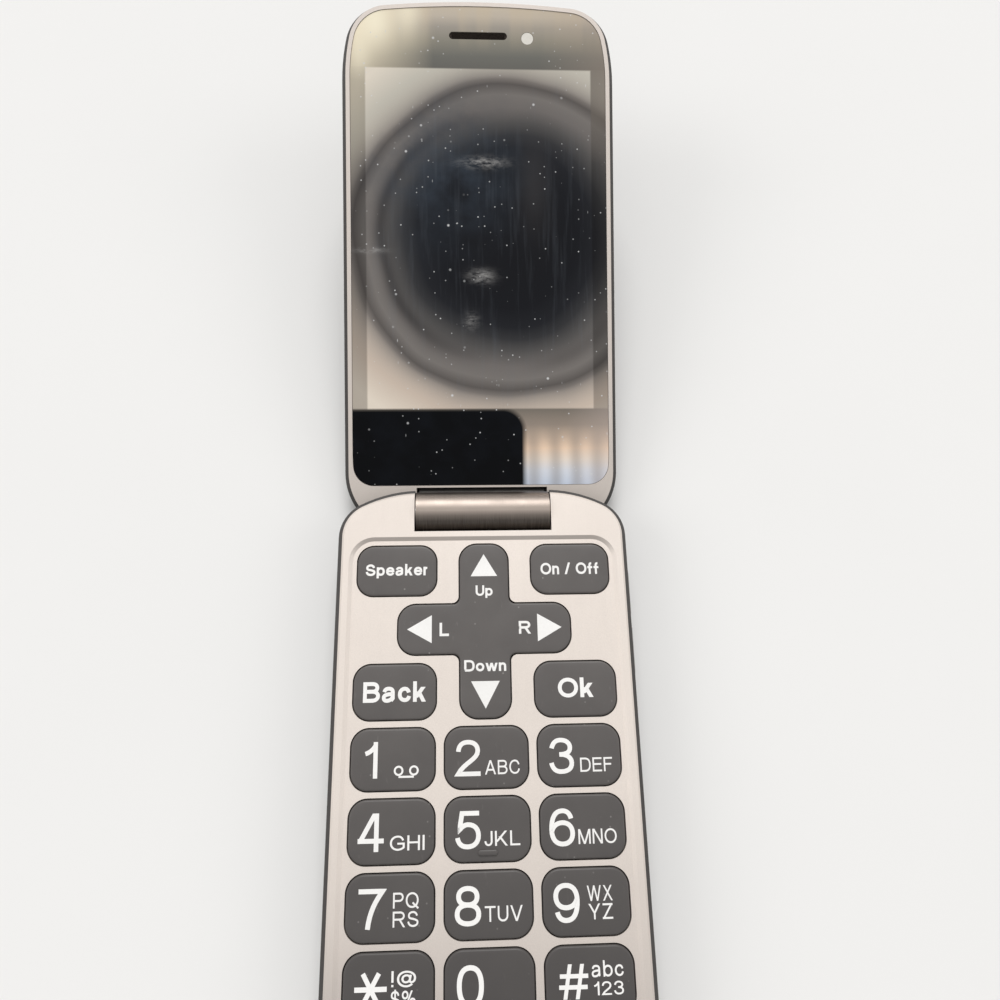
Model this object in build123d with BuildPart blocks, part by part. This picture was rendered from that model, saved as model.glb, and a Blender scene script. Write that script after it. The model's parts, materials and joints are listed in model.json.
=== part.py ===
"""A flip phone, lying open on its back: keypad base, barrel hinge, display lid and their works.

Frame: +X right, +Y from the keypad towards the hinge, +Z up, origin at the centre of the
base's underside. Both halves are drawn from the hinge axis: the base as it lies, and the lid
as it lies closed over the base, on planes that are turned back by the opening angle.
All sizes are in millimetres.
"""

import os
from math import asin, cos, degrees, radians, sin, sqrt, tan

from build123d import *

os.makedirs("parts", exist_ok=True)

# ------------------------------------------------------------------ shells
side_margin = 3.9  # outer number keys to the shell's sides
nose_margin = 7.0  # assist key to the nose
base_height = 10.8  # underside to deck
lid_height = 6.7  # parting face to outer skin
parting_gap = 0.3  # between the closed halves
shell_wall = 1.4
nose_crown = 190.3  # radius of the bowed nose
nose_corner = 8.7
lead_radius = 40.0  # eases each side into its corners
lead_angle = 12.0
right_angle = 90.0
base_tail_ease = (7.25, 63.0)  # radius and turn of each tail corner, then the bow behind it
base_tail_bow = 24.85
lid_tail_ease = (12.5, 45.0)
lid_tail_bow = 3.0
lid_overhang = 1.6  # lid's tail behind the hinge axis
edge_radius = 3.2  # outer edge of both shells
face_inset = 0.85  # silver faces stand inside the dark shells

# ------------------------------------------------------------------ hinge
opening_angle = 163.66
hinge_drop = 3.25  # axis below the deck
ear_reach = 4.1  # base's tail wall behind the hinge axis
ear_radius = 4.6  # swept by the ears
barrel_radius = 4.1
barrel_length = 25.4
barrel_gap = 0.25
sleeve_wall = 0.4
sleeve_gap = (86.0, 138.0)  # where the neck leaves the sleeve, in degrees
knuckle_play = 0.05
tail_lean = 35.0  # lean of the base's tail wall, and of the lid's when open
tail_gap = 0.25
heel_start = 10.5  # where the lid's skin turns up towards the hinge
heel_bend = 30.0
heel_radius = 1.5
lip_reach = 0.75  # base's lip under the barrel, behind the axis
cartridge_radius = 3.0
cartridge_length = 14.0
cartridge_wall = 0.5
bore_play = 0.05
cam_radius = 2.3
cam_length = 2.5
dog_height = 0.7
dog_play = 1.2  # turn left between the stop dogs at either end, in degrees
guide_radius = 0.7
shaft_radius = 1.5
shaft_reach = 5.0  # shaft inside the left ear
shaft_flat = 0.95  # half width across the shaft's flats
spring_wire = 0.4
spring_turns = 3
spring_radius = 1.6
bush_radius = 2.0
bush_bore = 1.3
bush_reach = 3.4  # bush inside the right ear
bush_length = 3.2  # bush inside the barrel
bush_bed = 7.2  # depth of the barrel's bore for the bush and the flex
flex_roll = 1.0  # radius of the rolled flex
flex_gap = 0.3
flex_thickness = 0.25
flex_width = 3.4
flex_end = 8.3  # hinge axis to the flex's end on the board
duct_play = 0.2
wall_gap = 0.15

# ------------------------------------------------------------------ deck and keys
deck_edge = 1.5  # silver edge of the deck
deck_chamfer = 0.4
deck_well = 0.4  # keypad area below the deck
well_margin = 2.3  # keypad area to the shell's sides
well_slope = 0.7
well_tail = 5.4  # hinge axis to the step behind the keys
well_end = 4.3  # keypad area to the nose
well_corner = 4.6
key_rise = 0.35  # key tops above the keypad area
key_play = 0.2
key_corner = 3.0
key_lip = 0.4
lip_corner = 2.0
key_lip_height = 0.5
lip_play = 0.1
key_chamfer = 0.25
key_travel = 0.4
number_key = (14.4, 10.1)
number_gap = (1.7, 1.3)
number_rows = (
    ("key_1", "key_2", "key_3"),
    ("key_4", "key_5", "key_6"),
    ("key_7", "key_8", "key_9"),
    ("key_star", "key_0", "key_hash"),
)
side_key_width = 14.5
top_key_gap = 1.65  # to the pad's side arms
top_key_setback = 0.2  # from the pad's rear tip
middle_key_gap = 1.6
middle_key_setback = 0.05
pad_gap = 1.35  # pad to the first row of numbers
side_key_shift = 0.1  # towards the middle from the number keys
assist_key = (26.0, 8.6)
assist_key_gap = 3.45  # to the last row of numbers
pad_margin = 1.5  # step behind the keys to the pad
pad_span = 31.3
pad_arm = 9.0
pad_tip = 3.2
pad_notch = 1.2
pad_lip_drop = 0.5
pad_lip_height = 0.4
pad_tilt_gap = 0.1
pivot_radius = 3.0
tactile_bar = (3.2, 0.9, 0.15)
tactile_drop = 3.6
rocker_length = 20.5
rocker_height = 2.8
rocker_reach = 21.2
rocker_stand = 0.45  # rocker proud of the shell
rocker_level = 6.2
rocker_play = 0.25
rocker_dip = 0.4
rocker_dip_width = 2.6
rocker_lip = (0.7, 0.6)
rocker_swing = 0.45

# ------------------------------------------------------------------ inside the base
cover_height = 2.2
cover_floor = 1.2
cover_tail = 6.5  # hinge axis to the cover's rear edge
seat_play = 0.1
pry_notch = (9.0, 0.9, 0.6)
frame_floor = 0.8
cavity_tail = 6.0  # hinge axis to the end of the cavity
battery_margin = 7.9  # battery to the shell's sides
battery_height = 4.2
battery_start = 41.2  # hinge axis to the battery's bay
battery_play = 0.3
battery_lift = 0.15
battery_corner = 1.5
web_thickness = 0.7
board_seat = 0.05
board_thickness = 0.7
board_margin = 4.3
board_tail = 7.0
board_end = 3.9
board_corner = 6.0
dome_radius = 2.5
dome_height = 0.2
dome_taper = 30
mat_lift = 0.05
mat_thickness = 0.3
mat_margin = 2.9
mat_tail = 8.6
mat_end = 7.3
mat_corner = 3.0
nub_radius = 1.5
nub_height = 0.45
pad_nub_height = 0.2
screw_head = (1.5, 1.0)
screw_radius = 0.8
screw_play = 0.05
screw_bite = 0.4
boss_wall = 0.8
boss_drop = 1.1
ear_screw = (4.3, 3.2)  # from the side, from the hinge axis
nose_screw = (5.9, 10.3)  # from the side, from the nose
speaker_size = (18.0, 12.0, 3.0)
speaker_site = (15.3, 16.0)  # from the right side, from the hinge axis
speaker_slots = (8.0, 1.0, 2.4)
speaker_corner = 2.0
speaker_rim = 1.2
motor_radius = 4.0
motor_height = 2.6
motor_site = (8.5, 13.6)  # from the left side, from the hinge axis
shield_size = (22.0, 15.0, 1.7)
shield_wall = 0.3
shield_corner = 0.8
shield_gap = 3.3  # to the battery's bay
shield_offset = 9.2
socket_size = (15.0, 12.0, 1.3)
socket_rim = 1.0
socket_gap = 3.6  # to the battery's bay
socket_offset = 13.0
port_size = (9.0, 7.4, 3.1)
port_recess = 0.6
port_wall = 0.35
port_corner = 1.4
jack_size = (6.4, 9.6, 4.3)
jack_margin = 12.5  # from the left side
jack_recess = 0.4
jack_bore = 1.8
jack_collar = 2.2
jack_depth = 10.4
jack_setback = 0.5  # jack's body behind the wall
port_tongue = (5.4, 0.7)
mic_radius = 1.5
mic_height = 1.1
mic_end = 5.6  # from the nose
mic_hole = 0.5
switch_plate = (0.5, 18.0, 1.8)
switch_button = (0.55, 2.2, 1.2)
switch_spread = 12.0
switch_gap = 0.25
switch_foot = 6.0

# ------------------------------------------------------------------ inside the lid
rim_edge = 1.3  # silver edge of the lid's frame
frame_depth = 2.1
window_rim = 0.8  # silver rim round the window
window_tail = 5.5  # hinge axis to the window
window_corner = 4.1
window_lead = 4.0
rim_lip = 0.8  # dark lip under the silver rim beside the ears
rim_gap = 0.5  # that lip to the ears, in plan
window_recess = 0.1
window_thickness = 1.0
window_play = 0.08
groove_reach = 5.1  # hinge axis to the frame's edge behind the barrel
groove_half = 13.0
neck_outline = (  # from the hinge axis, closed: (forwards, outwards)
    (-2.6, 3.17),
    (-5.0, 4.3),
    (-5.0, 5.75),
    (-6.5, 5.75),
    (-6.5, 7.3),
    (-4.2, 7.3),
    (-0.35, 6.0),
    (0.1, 3.4),
)
neck_play = 0.15
chassis_tail = 5.2
flex_path = ((-0.5, 0.72), (-2.1, 3.9), (-6.1, 7.48), (-10.2, 7.48))
display_margin = 3.2  # display to the shell's sides
display_length = 75.0
display_thickness = 1.8
frame_bar = 0.8  # between display and earpiece
display_play = 0.25
slot_size = (11.6, 1.5)
slot_end = 7.5  # from the nose
mesh_recess = 0.15
receiver_size = (13.0, 6.0, 1.8)
sensor_radius = 1.2
sensor_site = (9.86, 7.85)  # from the middle, from the nose
sensor_play = 0.05
chassis_depth = 3.05  # parting face to the chassis plate
chassis_thickness = 0.7
chassis_inset = 2.9
lid_board_size = (40.0, 33.0, 0.6)
outer_display_size = (29.0, 31.0, 1.6)
outer_display_gap = 5.2  # to the lid's board
outer_window_size = (32.0, 35.0, 0.55)
outer_window_corner = 3.0
outer_window_ledge = 1.2
lid_wall = 1.1
camera_size = (8.5, 8.5, 1.7)
camera_end = 12.3  # from the nose
camera_ring_radius = 4.6
camera_ring_stand = 0.3
camera_glass = 2.8
camera_glass_thickness = 0.5
camera_glass_recess = 0.2
magnet_size = (8.0, 2.2, 1.6)
magnet_site = (14.0, 5.3)  # from the middle, from the nose

# ------------------------------------------------------------------ derived places
number_pitch = (number_key[0] + number_gap[0], number_key[1] + number_gap[1])
side_key_offset = number_pitch[0] - side_key_shift
shell_width = 2 * (number_pitch[0] + number_key[0] / 2 + side_margin)
pad_reach = well_tail + pad_margin + pad_span / 2
side_key_space = (pad_span - pad_arm) / 2
top_key = (side_key_width, side_key_space - top_key_gap - top_key_setback)
middle_key = (side_key_width, side_key_space - middle_key_gap - middle_key_setback)
top_key_reach = pad_reach - pad_span / 2 + top_key_setback + top_key[1] / 2
middle_key_reach = pad_reach + pad_span / 2 - middle_key_setback - middle_key[1] / 2
number_start = pad_reach + pad_span / 2 + pad_gap + number_key[1] / 2
last_row = number_start + (len(number_rows) - 1) * number_pitch[1]
assist_key_reach = last_row + (number_key[1] + assist_key[1]) / 2 + assist_key_gap
nose_reach = assist_key_reach + assist_key[1] / 2 + nose_margin
well_half_width = shell_width / 2 - well_margin
well_nose = nose_reach - well_end
hinge_y = (nose_reach - ear_reach) / 2
hinge_z = base_height - hinge_drop
raise_angle = 180 - opening_angle
deck_split = base_height - deck_edge
well_floor = base_height - deck_well
lip_top = deck_split - lip_play
lip_bottom = lip_top - key_lip_height
pad_lip_top = lip_top - pad_lip_drop
pad_bottom = pad_lip_top - pad_lip_height
key_top = well_floor + key_rise
wall_inside = shell_width / 2 - shell_wall
notch_radius = barrel_radius + barrel_gap
notch_half = barrel_length / 2 + barrel_gap
knuckle_radius = barrel_radius - sleeve_wall - knuckle_play
knuckle_half = barrel_length / 2 - sleeve_wall / 2
frame_top = cover_height + frame_floor
bay_top = cover_floor + battery_height + 2 * battery_lift
web_top = bay_top + web_thickness
board_level = web_top + board_seat
board_top = board_level + board_thickness
mat_level = board_top + dome_height + mat_lift
mat_top = mat_level + mat_thickness
boss_end = deck_split - boss_drop
board_half_width = shell_width / 2 - board_margin
board_nose = nose_reach - board_end
mat_half_width = shell_width / 2 - mat_margin
mat_nose = nose_reach - mat_end
mic_reach = nose_reach - mic_end
parting = hinge_drop + parting_gap
rim_split = parting + rim_edge
frame_bottom = parting + frame_depth
skin = parting + lid_height
window_top = parting + window_recess
window_bottom = window_top + window_thickness
pocket_floor = window_bottom + seat_play / 2
chassis_level = parting + chassis_depth
chassis_top = chassis_level + chassis_thickness
ceiling = skin - lid_wall
pillar_radius = screw_radius + 2 * boss_wall
port_level = board_level - port_size[2] / 2
jack_level = frame_top + seat_play / 2 + jack_size[2] / 2
jack_offset = jack_margin - shell_width / 2
jack_bow = jack_offset**2 / (2 * nose_crown)
jack_mouth = nose_reach - jack_bow - jack_recess
jack_front = nose_reach - jack_bow - shell_wall - jack_setback
battery_nose = jack_front - jack_size[1] - wall_gap * 2 - shell_wall
bay_size = (shell_width - 2 * battery_margin + 2 * battery_play, battery_nose - battery_start)
battery_size = (bay_size[0] - 2 * battery_play, bay_size[1] - 2 * battery_play, battery_height)
battery_reach = (battery_start + battery_nose) / 2
shield_site = (-shield_offset, battery_start - shield_gap - shield_size[1] / 2)
socket_site = (socket_offset, battery_start - socket_gap - socket_size[1] / 2)
cartridge_start = -knuckle_half
cam_start = cartridge_start + cartridge_wall + seat_play
dog_start = cam_start + cam_length
follower_start = dog_start + dog_height + seat_play
follower_end = follower_start + cam_length
spring_start = follower_end + wall_gap
spring_end = cartridge_start + cartridge_length - cartridge_wall - wall_gap
dog_span = (360 - opening_angle) / 2 - dog_play
bush_start = knuckle_half - bush_length
lid_roll_start = knuckle_half - bush_bed + seat_play
slot_reach = nose_reach - slot_end
display_size = (shell_width - 2 * display_margin, display_length, display_thickness)
receiver_tail = slot_reach - receiver_size[1] / 2 - display_play
display_reach = receiver_tail - frame_bar - display_play - display_length / 2
lid_board_tail = -flex_path[-1][0] + seat_play
lid_board_reach = lid_board_tail + lid_board_size[1] / 2
outer_display_tail = lid_board_tail + lid_board_size[1] + outer_display_gap
outer_display_reach = outer_display_tail + outer_display_size[1] / 2
camera_reach = nose_reach - camera_end
rocker_back = wall_inside - rocker_swing - rocker_lip[1]
switch_front = rocker_back - switch_gap

lid_up = (0, sin(radians(raise_angle)), -cos(radians(raise_angle)))
lid_plane = Plane((0, hinge_y, hinge_z), x_dir=(1, 0, 0), z_dir=lid_up)
lid_side = Plane((0, hinge_y, hinge_z), x_dir=lid_plane.y_dir, z_dir=(1, 0, 0))
base_side = Plane((0, hinge_y, hinge_z), x_dir=(0, 1, 0), z_dir=(1, 0, 0))
rocker_side = Plane(
    (shell_width / 2, hinge_y - rocker_reach, rocker_level), x_dir=(0, 1, 0), z_dir=(1, 0, 0)
)
nose_side = Plane((0, hinge_y - nose_reach, 0), x_dir=(1, 0, 0), z_dir=(0, -1, 0))


def base_at(height):
    """Drawing plane of the base at a height above its underside, with its origin at the hinge."""
    return Plane((0, hinge_y, height))


def lid_at(depth):
    """Drawing plane of the lid at a distance from the hinge axis towards its outer skin."""
    return lid_plane.offset(depth)


# ------------------------------------------------------------------ outlines
def shell_plan(inset, tail, tail_ease, tail_bow):
    """Plan outline of a shell, set in from its outer face: bowed nose, eased corners."""
    half_width = shell_width / 2 - inset
    crown = nose_crown - inset
    corner = nose_corner - inset
    lead = lead_radius - inset
    lead_turn = radians(lead_angle)
    corner_share = corner * cos(lead_turn) + lead * (1 - cos(lead_turn))
    crown_turn = degrees(asin((half_width - corner_share) / (crown - corner)))
    tail_radius, tail_turn = tail_ease
    tail_share = sin(radians(tail_turn))
    tail_run = (tail_radius - inset) * tail_share + (tail_bow - inset) * (1 - tail_share)
    with BuildSketch() as plan:
        with BuildLine():
            nose = JernArc((0, inset - nose_reach), (1, 0), crown, crown_turn)
            bend = JernArc(nose @ 1, nose % 1, corner, right_angle - lead_angle - crown_turn)
            ease = JernArc(bend @ 1, bend % 1, lead, lead_angle)
            side = Line(ease @ 1, (ease @ 1) + (0, tail - inset - tail_run - (ease @ 1).Y))
            turn = JernArc(side @ 1, side % 1, tail_radius - inset, tail_turn)
            bow = JernArc(turn @ 1, turn % 1, tail_bow - inset, right_angle - tail_turn)
            Line(bow @ 1, (0, tail - inset))
            mirror(about=Plane.YZ)
        make_face()
    return plan.sketch


def base_plan(inset):
    return shell_plan(inset, ear_reach, base_tail_ease, base_tail_bow)


def lid_plan(inset):
    return shell_plan(inset, lid_overhang, lid_tail_ease, lid_tail_bow)


def tail_cut(inset):
    """Plan outline that clears the base's ears from the lid's tail."""
    with BuildSketch() as cut:
        with Locations((0, rim_gap - inset)):
            add(mirror(base_plan(0), about=Plane.XZ))
    return cut.sketch


def window_plan(inset):
    """Plan outline of the window in the lid."""
    rim = face_inset + window_rim
    ease = (lead_radius, window_lead)
    return shell_plan(rim + inset, rim - window_tail, ease, rim + window_corner)


def base_profile():
    """Side view of the base about the hinge: deck, ear, leaning tail wall, underside."""
    lean = radians(tail_lean)
    knee = (ear_reach * cos(lean) - ear_radius) / sin(lean)
    foot = (ear_radius - hinge_z * sin(lean)) / cos(lean)
    nose = -nose_reach - shell_wall
    back = 2 * ear_reach
    with BuildSketch() as profile:
        with BuildLine():
            Polyline(
                (nose, -hinge_z),
                (foot, -hinge_z),
                (ear_reach, knee),
                (back, knee),
                (back, hinge_drop),
                (nose, hinge_drop),
                close=True,
            )
        make_face()
    return profile.sketch


def lid_profile(inset):
    """Side view of the closed lid about the hinge: parting face, leaning tail wall, heel, skin."""
    wall_turn = radians(opening_angle - tail_lean)
    wall_reach = ear_radius + tail_gap + inset
    slope = tan(radians(raise_angle))
    top = skin - inset
    low = (parting * sin(wall_turn) - wall_reach) / -cos(wall_turn)
    heel_line = top - heel_start * slope
    corner_y = (wall_reach - heel_line * sin(wall_turn)) / (cos(wall_turn) - slope * sin(wall_turn))
    corner = (corner_y, heel_line - corner_y * slope)
    nose = -nose_reach - shell_wall
    with BuildSketch() as profile:
        with BuildLine():
            Polyline((nose, parting), (low, parting), corner, (-heel_start, top), (nose, top), close=True)
        make_face()
        fillet(profile.vertices().sort_by(Axis.X)[-1], heel_radius)
        bend = profile.vertices().group_by(Axis.Y)[-1].sort_by(Axis.X)[-1]
        fillet(bend, heel_bend)
    return profile.sketch


def wedge(radius, start, span):
    """Sector of a disc."""
    with BuildSketch() as sector:
        with BuildLine():
            rim = CenterArc((0, 0), radius, start, span)
            Polyline(rim @ 1, (0, 0), rim @ 0)
        make_face()
    return sector.sketch


def ribbon(points, thickness):
    """Side view of a thin strip along a path."""
    with BuildSketch() as strip:
        with BuildLine():
            Polyline(*points)
        trace(line_width=thickness)
    return strip.sketch


def cross(span, arm, tip, notch):
    """Outline of the direction pad."""
    with BuildSketch() as outline:
        Rectangle(span, arm)
        Rectangle(arm, span)
        inner = outline.vertices().filter_by(lambda v: abs(abs(v.X) - abs(v.Y)) < arm / 100)
        fillet(inner, notch)
        tips = outline.vertices().filter_by(
            lambda v: max(abs(v.X), abs(v.Y)) > span / 2 - tip / 100
        )
        fillet(tips, tip)
    return outline.sketch


key_sites = {
    "speaker_key": (-side_key_offset, -top_key_reach, *top_key),
    "power_key": (side_key_offset, -top_key_reach, *top_key),
    "back_key": (-side_key_offset, -middle_key_reach, *middle_key),
    "ok_key": (side_key_offset, -middle_key_reach, *middle_key),
    "assist_key": (0, -assist_key_reach, *assist_key),
}
for row, names in enumerate(number_rows):
    for column, name in enumerate(names):
        place = ((column - 1) * number_pitch[0], -number_start - row * number_pitch[1])
        key_sites[name] = (*place, *number_key)

dome_sites = [(x, y) for x, y, _, _ in key_sites.values()]
pad_throw = pad_span / 2 - pad_arm / 2
dome_sites += [(x, y - pad_reach) for x, y in ((pad_throw, 0), (-pad_throw, 0))]
dome_sites += [(x, y - pad_reach) for x, y in ((0, pad_throw), (0, -pad_throw))]
ear_screws = [(side * (shell_width / 2 - ear_screw[0]), -ear_screw[1]) for side in (-1, 1)]
nose_screws = [
    (side * (shell_width / 2 - nose_screw[0]), nose_screw[1] - nose_reach) for side in (-1, 1)
]
screw_sites = ear_screws + nose_screws

# ------------------------------------------------------------------ outer forms
with BuildPart() as base_form:
    with BuildSketch(base_at(0)):
        add(base_plan(0))
    extrude(amount=deck_split)
    fillet(base_form.faces().sort_by(Axis.Z)[0].edges(), edge_radius)
    with BuildSketch(base_side):
        add(base_profile())
    extrude(amount=shell_width, both=True, mode=Mode.INTERSECT)
    with BuildSketch(base_side):
        Circle(notch_radius)
        with Locations((0, hinge_drop)):
            Rectangle(2 * notch_radius, 2 * hinge_drop)
        with Locations((lip_reach, 0)):
            Rectangle(2 * ear_radius, 2 * hinge_z, align=(Align.MIN, Align.CENTER))
    extrude(amount=notch_half, both=True, mode=Mode.SUBTRACT)

with BuildPart() as lid_form:
    with BuildSketch(lid_at(parting)):
        add(lid_plan(0))
    extrude(amount=lid_height)
    outer_face = lid_form.faces().filter_by(lambda f: f.normal_at().dot(lid_plane.z_dir) > 0.999)
    fillet(outer_face.edges(), edge_radius)
    with BuildSketch(lid_side):
        add(lid_profile(0))
    extrude(amount=shell_width, both=True, mode=Mode.INTERSECT)
    with BuildSketch(lid_at(rim_split)):
        add(lid_plan(0))
        add(tail_cut(0), mode=Mode.SUBTRACT)
    extrude(amount=rim_lip)

# ------------------------------------------------------------------ base shells
with BuildPart() as base_front_case:
    with BuildSketch(base_at(deck_split)):
        add(base_plan(face_inset))
    extrude(amount=deck_edge)
    chamfer(base_front_case.faces().sort_by(Axis.Z)[-1].edges(), deck_chamfer)
    with BuildSketch(base_side):
        with Locations((-notch_radius, 0)):
            Rectangle(4 * notch_radius, 4 * hinge_drop, align=(Align.MIN, Align.CENTER))
    extrude(amount=notch_half, both=True, mode=Mode.SUBTRACT)
    # Keypad area, one gentle step below the deck.
    well_length = well_nose - well_tail
    with BuildSketch(base_at(base_height)):
        with Locations((0, -(well_tail + well_nose) / 2)):
            RectangleRounded(2 * well_half_width, well_length, well_corner)
    with BuildSketch(base_at(well_floor)):
        with Locations((0, -(well_tail + well_nose) / 2)):
            offset(
                RectangleRounded(2 * well_half_width, well_length, well_corner),
                amount=-well_slope,
                mode=Mode.REPLACE,
            )
    loft(mode=Mode.SUBTRACT)
    # Openings for the keys and the microphone.
    with BuildSketch(base_at(deck_split)):
        for x, y, width, height in key_sites.values():
            with Locations((x, y)):
                RectangleRounded(width + 2 * key_play, height + 2 * key_play, key_corner + key_play)
        with Locations((0, -pad_reach)):
            add(cross(pad_span + 2 * key_play, pad_arm + 2 * key_play, pad_tip + key_play, pad_notch))
        with Locations((0, -mic_reach)):
            Circle(mic_hole)
    extrude(amount=deck_edge, mode=Mode.SUBTRACT)
    # Screw bosses.
    with BuildSketch(base_at(boss_end)):
        with Locations(*screw_sites):
            Circle(screw_radius + boss_wall)
    extrude(amount=boss_drop)
    with BuildSketch(base_at(boss_end)):
        with Locations(*screw_sites):
            Circle(screw_radius + screw_play)
    extrude(amount=boss_drop + screw_bite + screw_play, mode=Mode.SUBTRACT)
    # Relief over the bush.
    with BuildSketch(base_side.offset(notch_half)):
        Circle(bush_radius + bore_play)
    extrude(amount=bush_reach, mode=Mode.SUBTRACT)
base_front_case.part.label = "base_front_case"
export_step(base_front_case.part, "parts/base_front_case.step")

with BuildPart() as base_rear_case:
    add(base_form)
    # Seat of the battery cover, under all but the tail.
    with BuildSketch(base_at(0)):
        with Locations((0, -cover_tail)):
            Rectangle(2 * shell_width, 2 * nose_reach, align=(Align.CENTER, Align.MAX))
    extrude(amount=cover_height, mode=Mode.SUBTRACT)
    # Works space over the whole case, with deeper wells behind and in front of the battery.
    for level, tail, nose in (
        (web_top, cavity_tail, nose_reach),
        (frame_top, cavity_tail, battery_start - shell_wall),
        (frame_top, battery_nose + shell_wall, nose_reach),
    ):
        with BuildSketch(base_at(level)):
            add(base_plan(shell_wall))
            with Locations((0, -tail)):
                Rectangle(
                    2 * shell_width,
                    nose - tail,
                    align=(Align.CENTER, Align.MAX),
                    mode=Mode.INTERSECT,
                )
        extrude(amount=base_height, mode=Mode.SUBTRACT)
    # Battery bay, open to the cover.
    with BuildSketch(base_at(cover_height)):
        with Locations((0, -battery_reach)):
            Rectangle(bay_size[0], bay_size[1])
    extrude(amount=bay_top - cover_height, mode=Mode.SUBTRACT)
    # Sound slots of the loudspeaker.
    with BuildSketch(base_at(cover_height)):
        with Locations((shell_width / 2 - speaker_site[0], -speaker_site[1])):
            with GridLocations(0, speaker_slots[2], 1, 3):
                SlotOverall(speaker_slots[0], speaker_slots[1])
    extrude(amount=frame_floor, mode=Mode.SUBTRACT)
    # Screw pillars at the nose, pockets for the deck's bosses, counterbores and clearance holes.
    with BuildSketch(base_at(cover_height)):
        with Locations(*nose_screws):
            Circle(pillar_radius)
    extrude(amount=boss_end - seat_play - cover_height)
    with BuildSketch(base_at(boss_end - seat_play)):
        with Locations(*screw_sites):
            Circle(screw_radius + boss_wall + seat_play)
    extrude(amount=base_height, mode=Mode.SUBTRACT)
    with BuildSketch(base_at(0)):
        with Locations(*screw_sites):
            Circle(screw_radius + screw_play)
    extrude(amount=base_height, mode=Mode.SUBTRACT)
    for sites, seat in ((ear_screws, cover_floor), (nose_screws, cover_height)):
        with BuildSketch(base_at(0)):
            with Locations(*sites):
                Circle(screw_head[0] + seat_play)
        extrude(amount=seat + screw_head[1], mode=Mode.SUBTRACT)
    # Ear bores: flats for the shaft on the left, a round seat for the bush on the right.
    with BuildSketch(base_side.offset(-notch_half)):
        Circle(shaft_radius + bore_play)
        Rectangle(3 * shaft_radius, 2 * (shaft_flat + bore_play), mode=Mode.INTERSECT)
    extrude(amount=-shaft_reach - bore_play, mode=Mode.SUBTRACT)
    with BuildSketch(base_side.offset(notch_half)):
        Circle(bush_radius + bore_play / 2)
    extrude(amount=bush_reach, mode=Mode.SUBTRACT)
    # Duct for the flex, from the right ear to the works space.
    with BuildSketch(base_at(hinge_z - flex_roll - duct_play)):
        with Locations((notch_half + bush_reach, flex_roll + duct_play)):
            Rectangle(flex_width + 2 * duct_play, 2 * cavity_tail, align=(Align.MIN, Align.MAX))
    extrude(amount=base_height, mode=Mode.SUBTRACT)
    # Slot of the volume rocker.
    with BuildSketch(rocker_side.offset(-2 * shell_wall)):
        SlotOverall(rocker_length + 2 * rocker_play, rocker_height + 2 * rocker_play)
    extrude(amount=3 * shell_wall, mode=Mode.SUBTRACT)
    # Mouths of the charging port and the headset jack.
    with BuildSketch(nose_side):
        with Locations((0, port_level)):
            RectangleRounded(port_size[0] + 2 * seat_play, port_size[2] + 2 * seat_play, port_corner)
        with Locations((jack_offset, jack_level)):
            Circle(jack_collar + seat_play)
    extrude(amount=-2 * shell_wall, mode=Mode.SUBTRACT)
base_rear_case.part.label = "base_rear_case"
export_step(base_rear_case.part, "parts/base_rear_case.step")

with BuildPart() as battery_cover:
    add(base_form)
    with BuildSketch(base_at(0)):
        with Locations((0, -cover_tail - seat_play)):
            Rectangle(2 * shell_width, 2 * nose_reach, align=(Align.CENTER, Align.MAX))
    extrude(amount=cover_height, mode=Mode.INTERSECT)
    with BuildSketch(base_at(cover_floor)):
        with Locations((0, -battery_reach)):
            Rectangle(bay_size[0], bay_size[1])
    extrude(amount=cover_height, mode=Mode.SUBTRACT)
    with BuildSketch(base_at(0)):
        with Locations((shell_width / 2 - speaker_site[0], -speaker_site[1])):
            with GridLocations(0, speaker_slots[2], 1, 3):
                SlotOverall(speaker_slots[0], speaker_slots[1])
    extrude(amount=cover_height, mode=Mode.SUBTRACT)
    with BuildSketch(base_at(0)):
        with Locations((0, -cover_tail)):
            Rectangle(pry_notch[0], 2 * pry_notch[1])
    extrude(amount=pry_notch[2], mode=Mode.SUBTRACT)
battery_cover.part.label = "battery_cover"
export_step(battery_cover.part, "parts/battery_cover.step")

# ------------------------------------------------------------------ works of the base
with BuildPart() as battery:
    with BuildSketch(base_at(cover_floor + battery_lift)):
        with Locations((0, -battery_reach)):
            RectangleRounded(battery_size[0], battery_size[1], battery_corner)
    extrude(amount=battery_size[2])
battery.part.label = "battery"
export_step(battery.part, "parts/battery.step")

with BuildPart() as main_board:
    with BuildSketch(base_at(board_level)):
        with Locations((0, -(board_tail + board_nose) / 2)):
            RectangleRounded(2 * board_half_width, board_nose - board_tail, board_corner)
        with Locations((jack_offset, -jack_front + jack_size[1] + 2 * seat_play)):
            Rectangle(
                jack_size[0] + 4 * seat_play,
                2 * jack_size[1],
                align=(Align.CENTER, Align.MAX),
                mode=Mode.SUBTRACT,
            )
        with Locations(*nose_screws):
            Circle(pillar_radius + 2 * seat_play, mode=Mode.SUBTRACT)
    extrude(amount=board_thickness)
main_board.part.label = "main_board"
export_step(main_board.part, "parts/main_board.step")

with BuildPart() as metal_domes:
    with BuildSketch(base_at(board_top)):
        with Locations(*dome_sites):
            RegularPolygon(dome_radius, 8)
    extrude(amount=dome_height, taper=dome_taper)
metal_domes.part.label = "metal_domes"
export_step(metal_domes.part, "parts/metal_domes.step")

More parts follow.
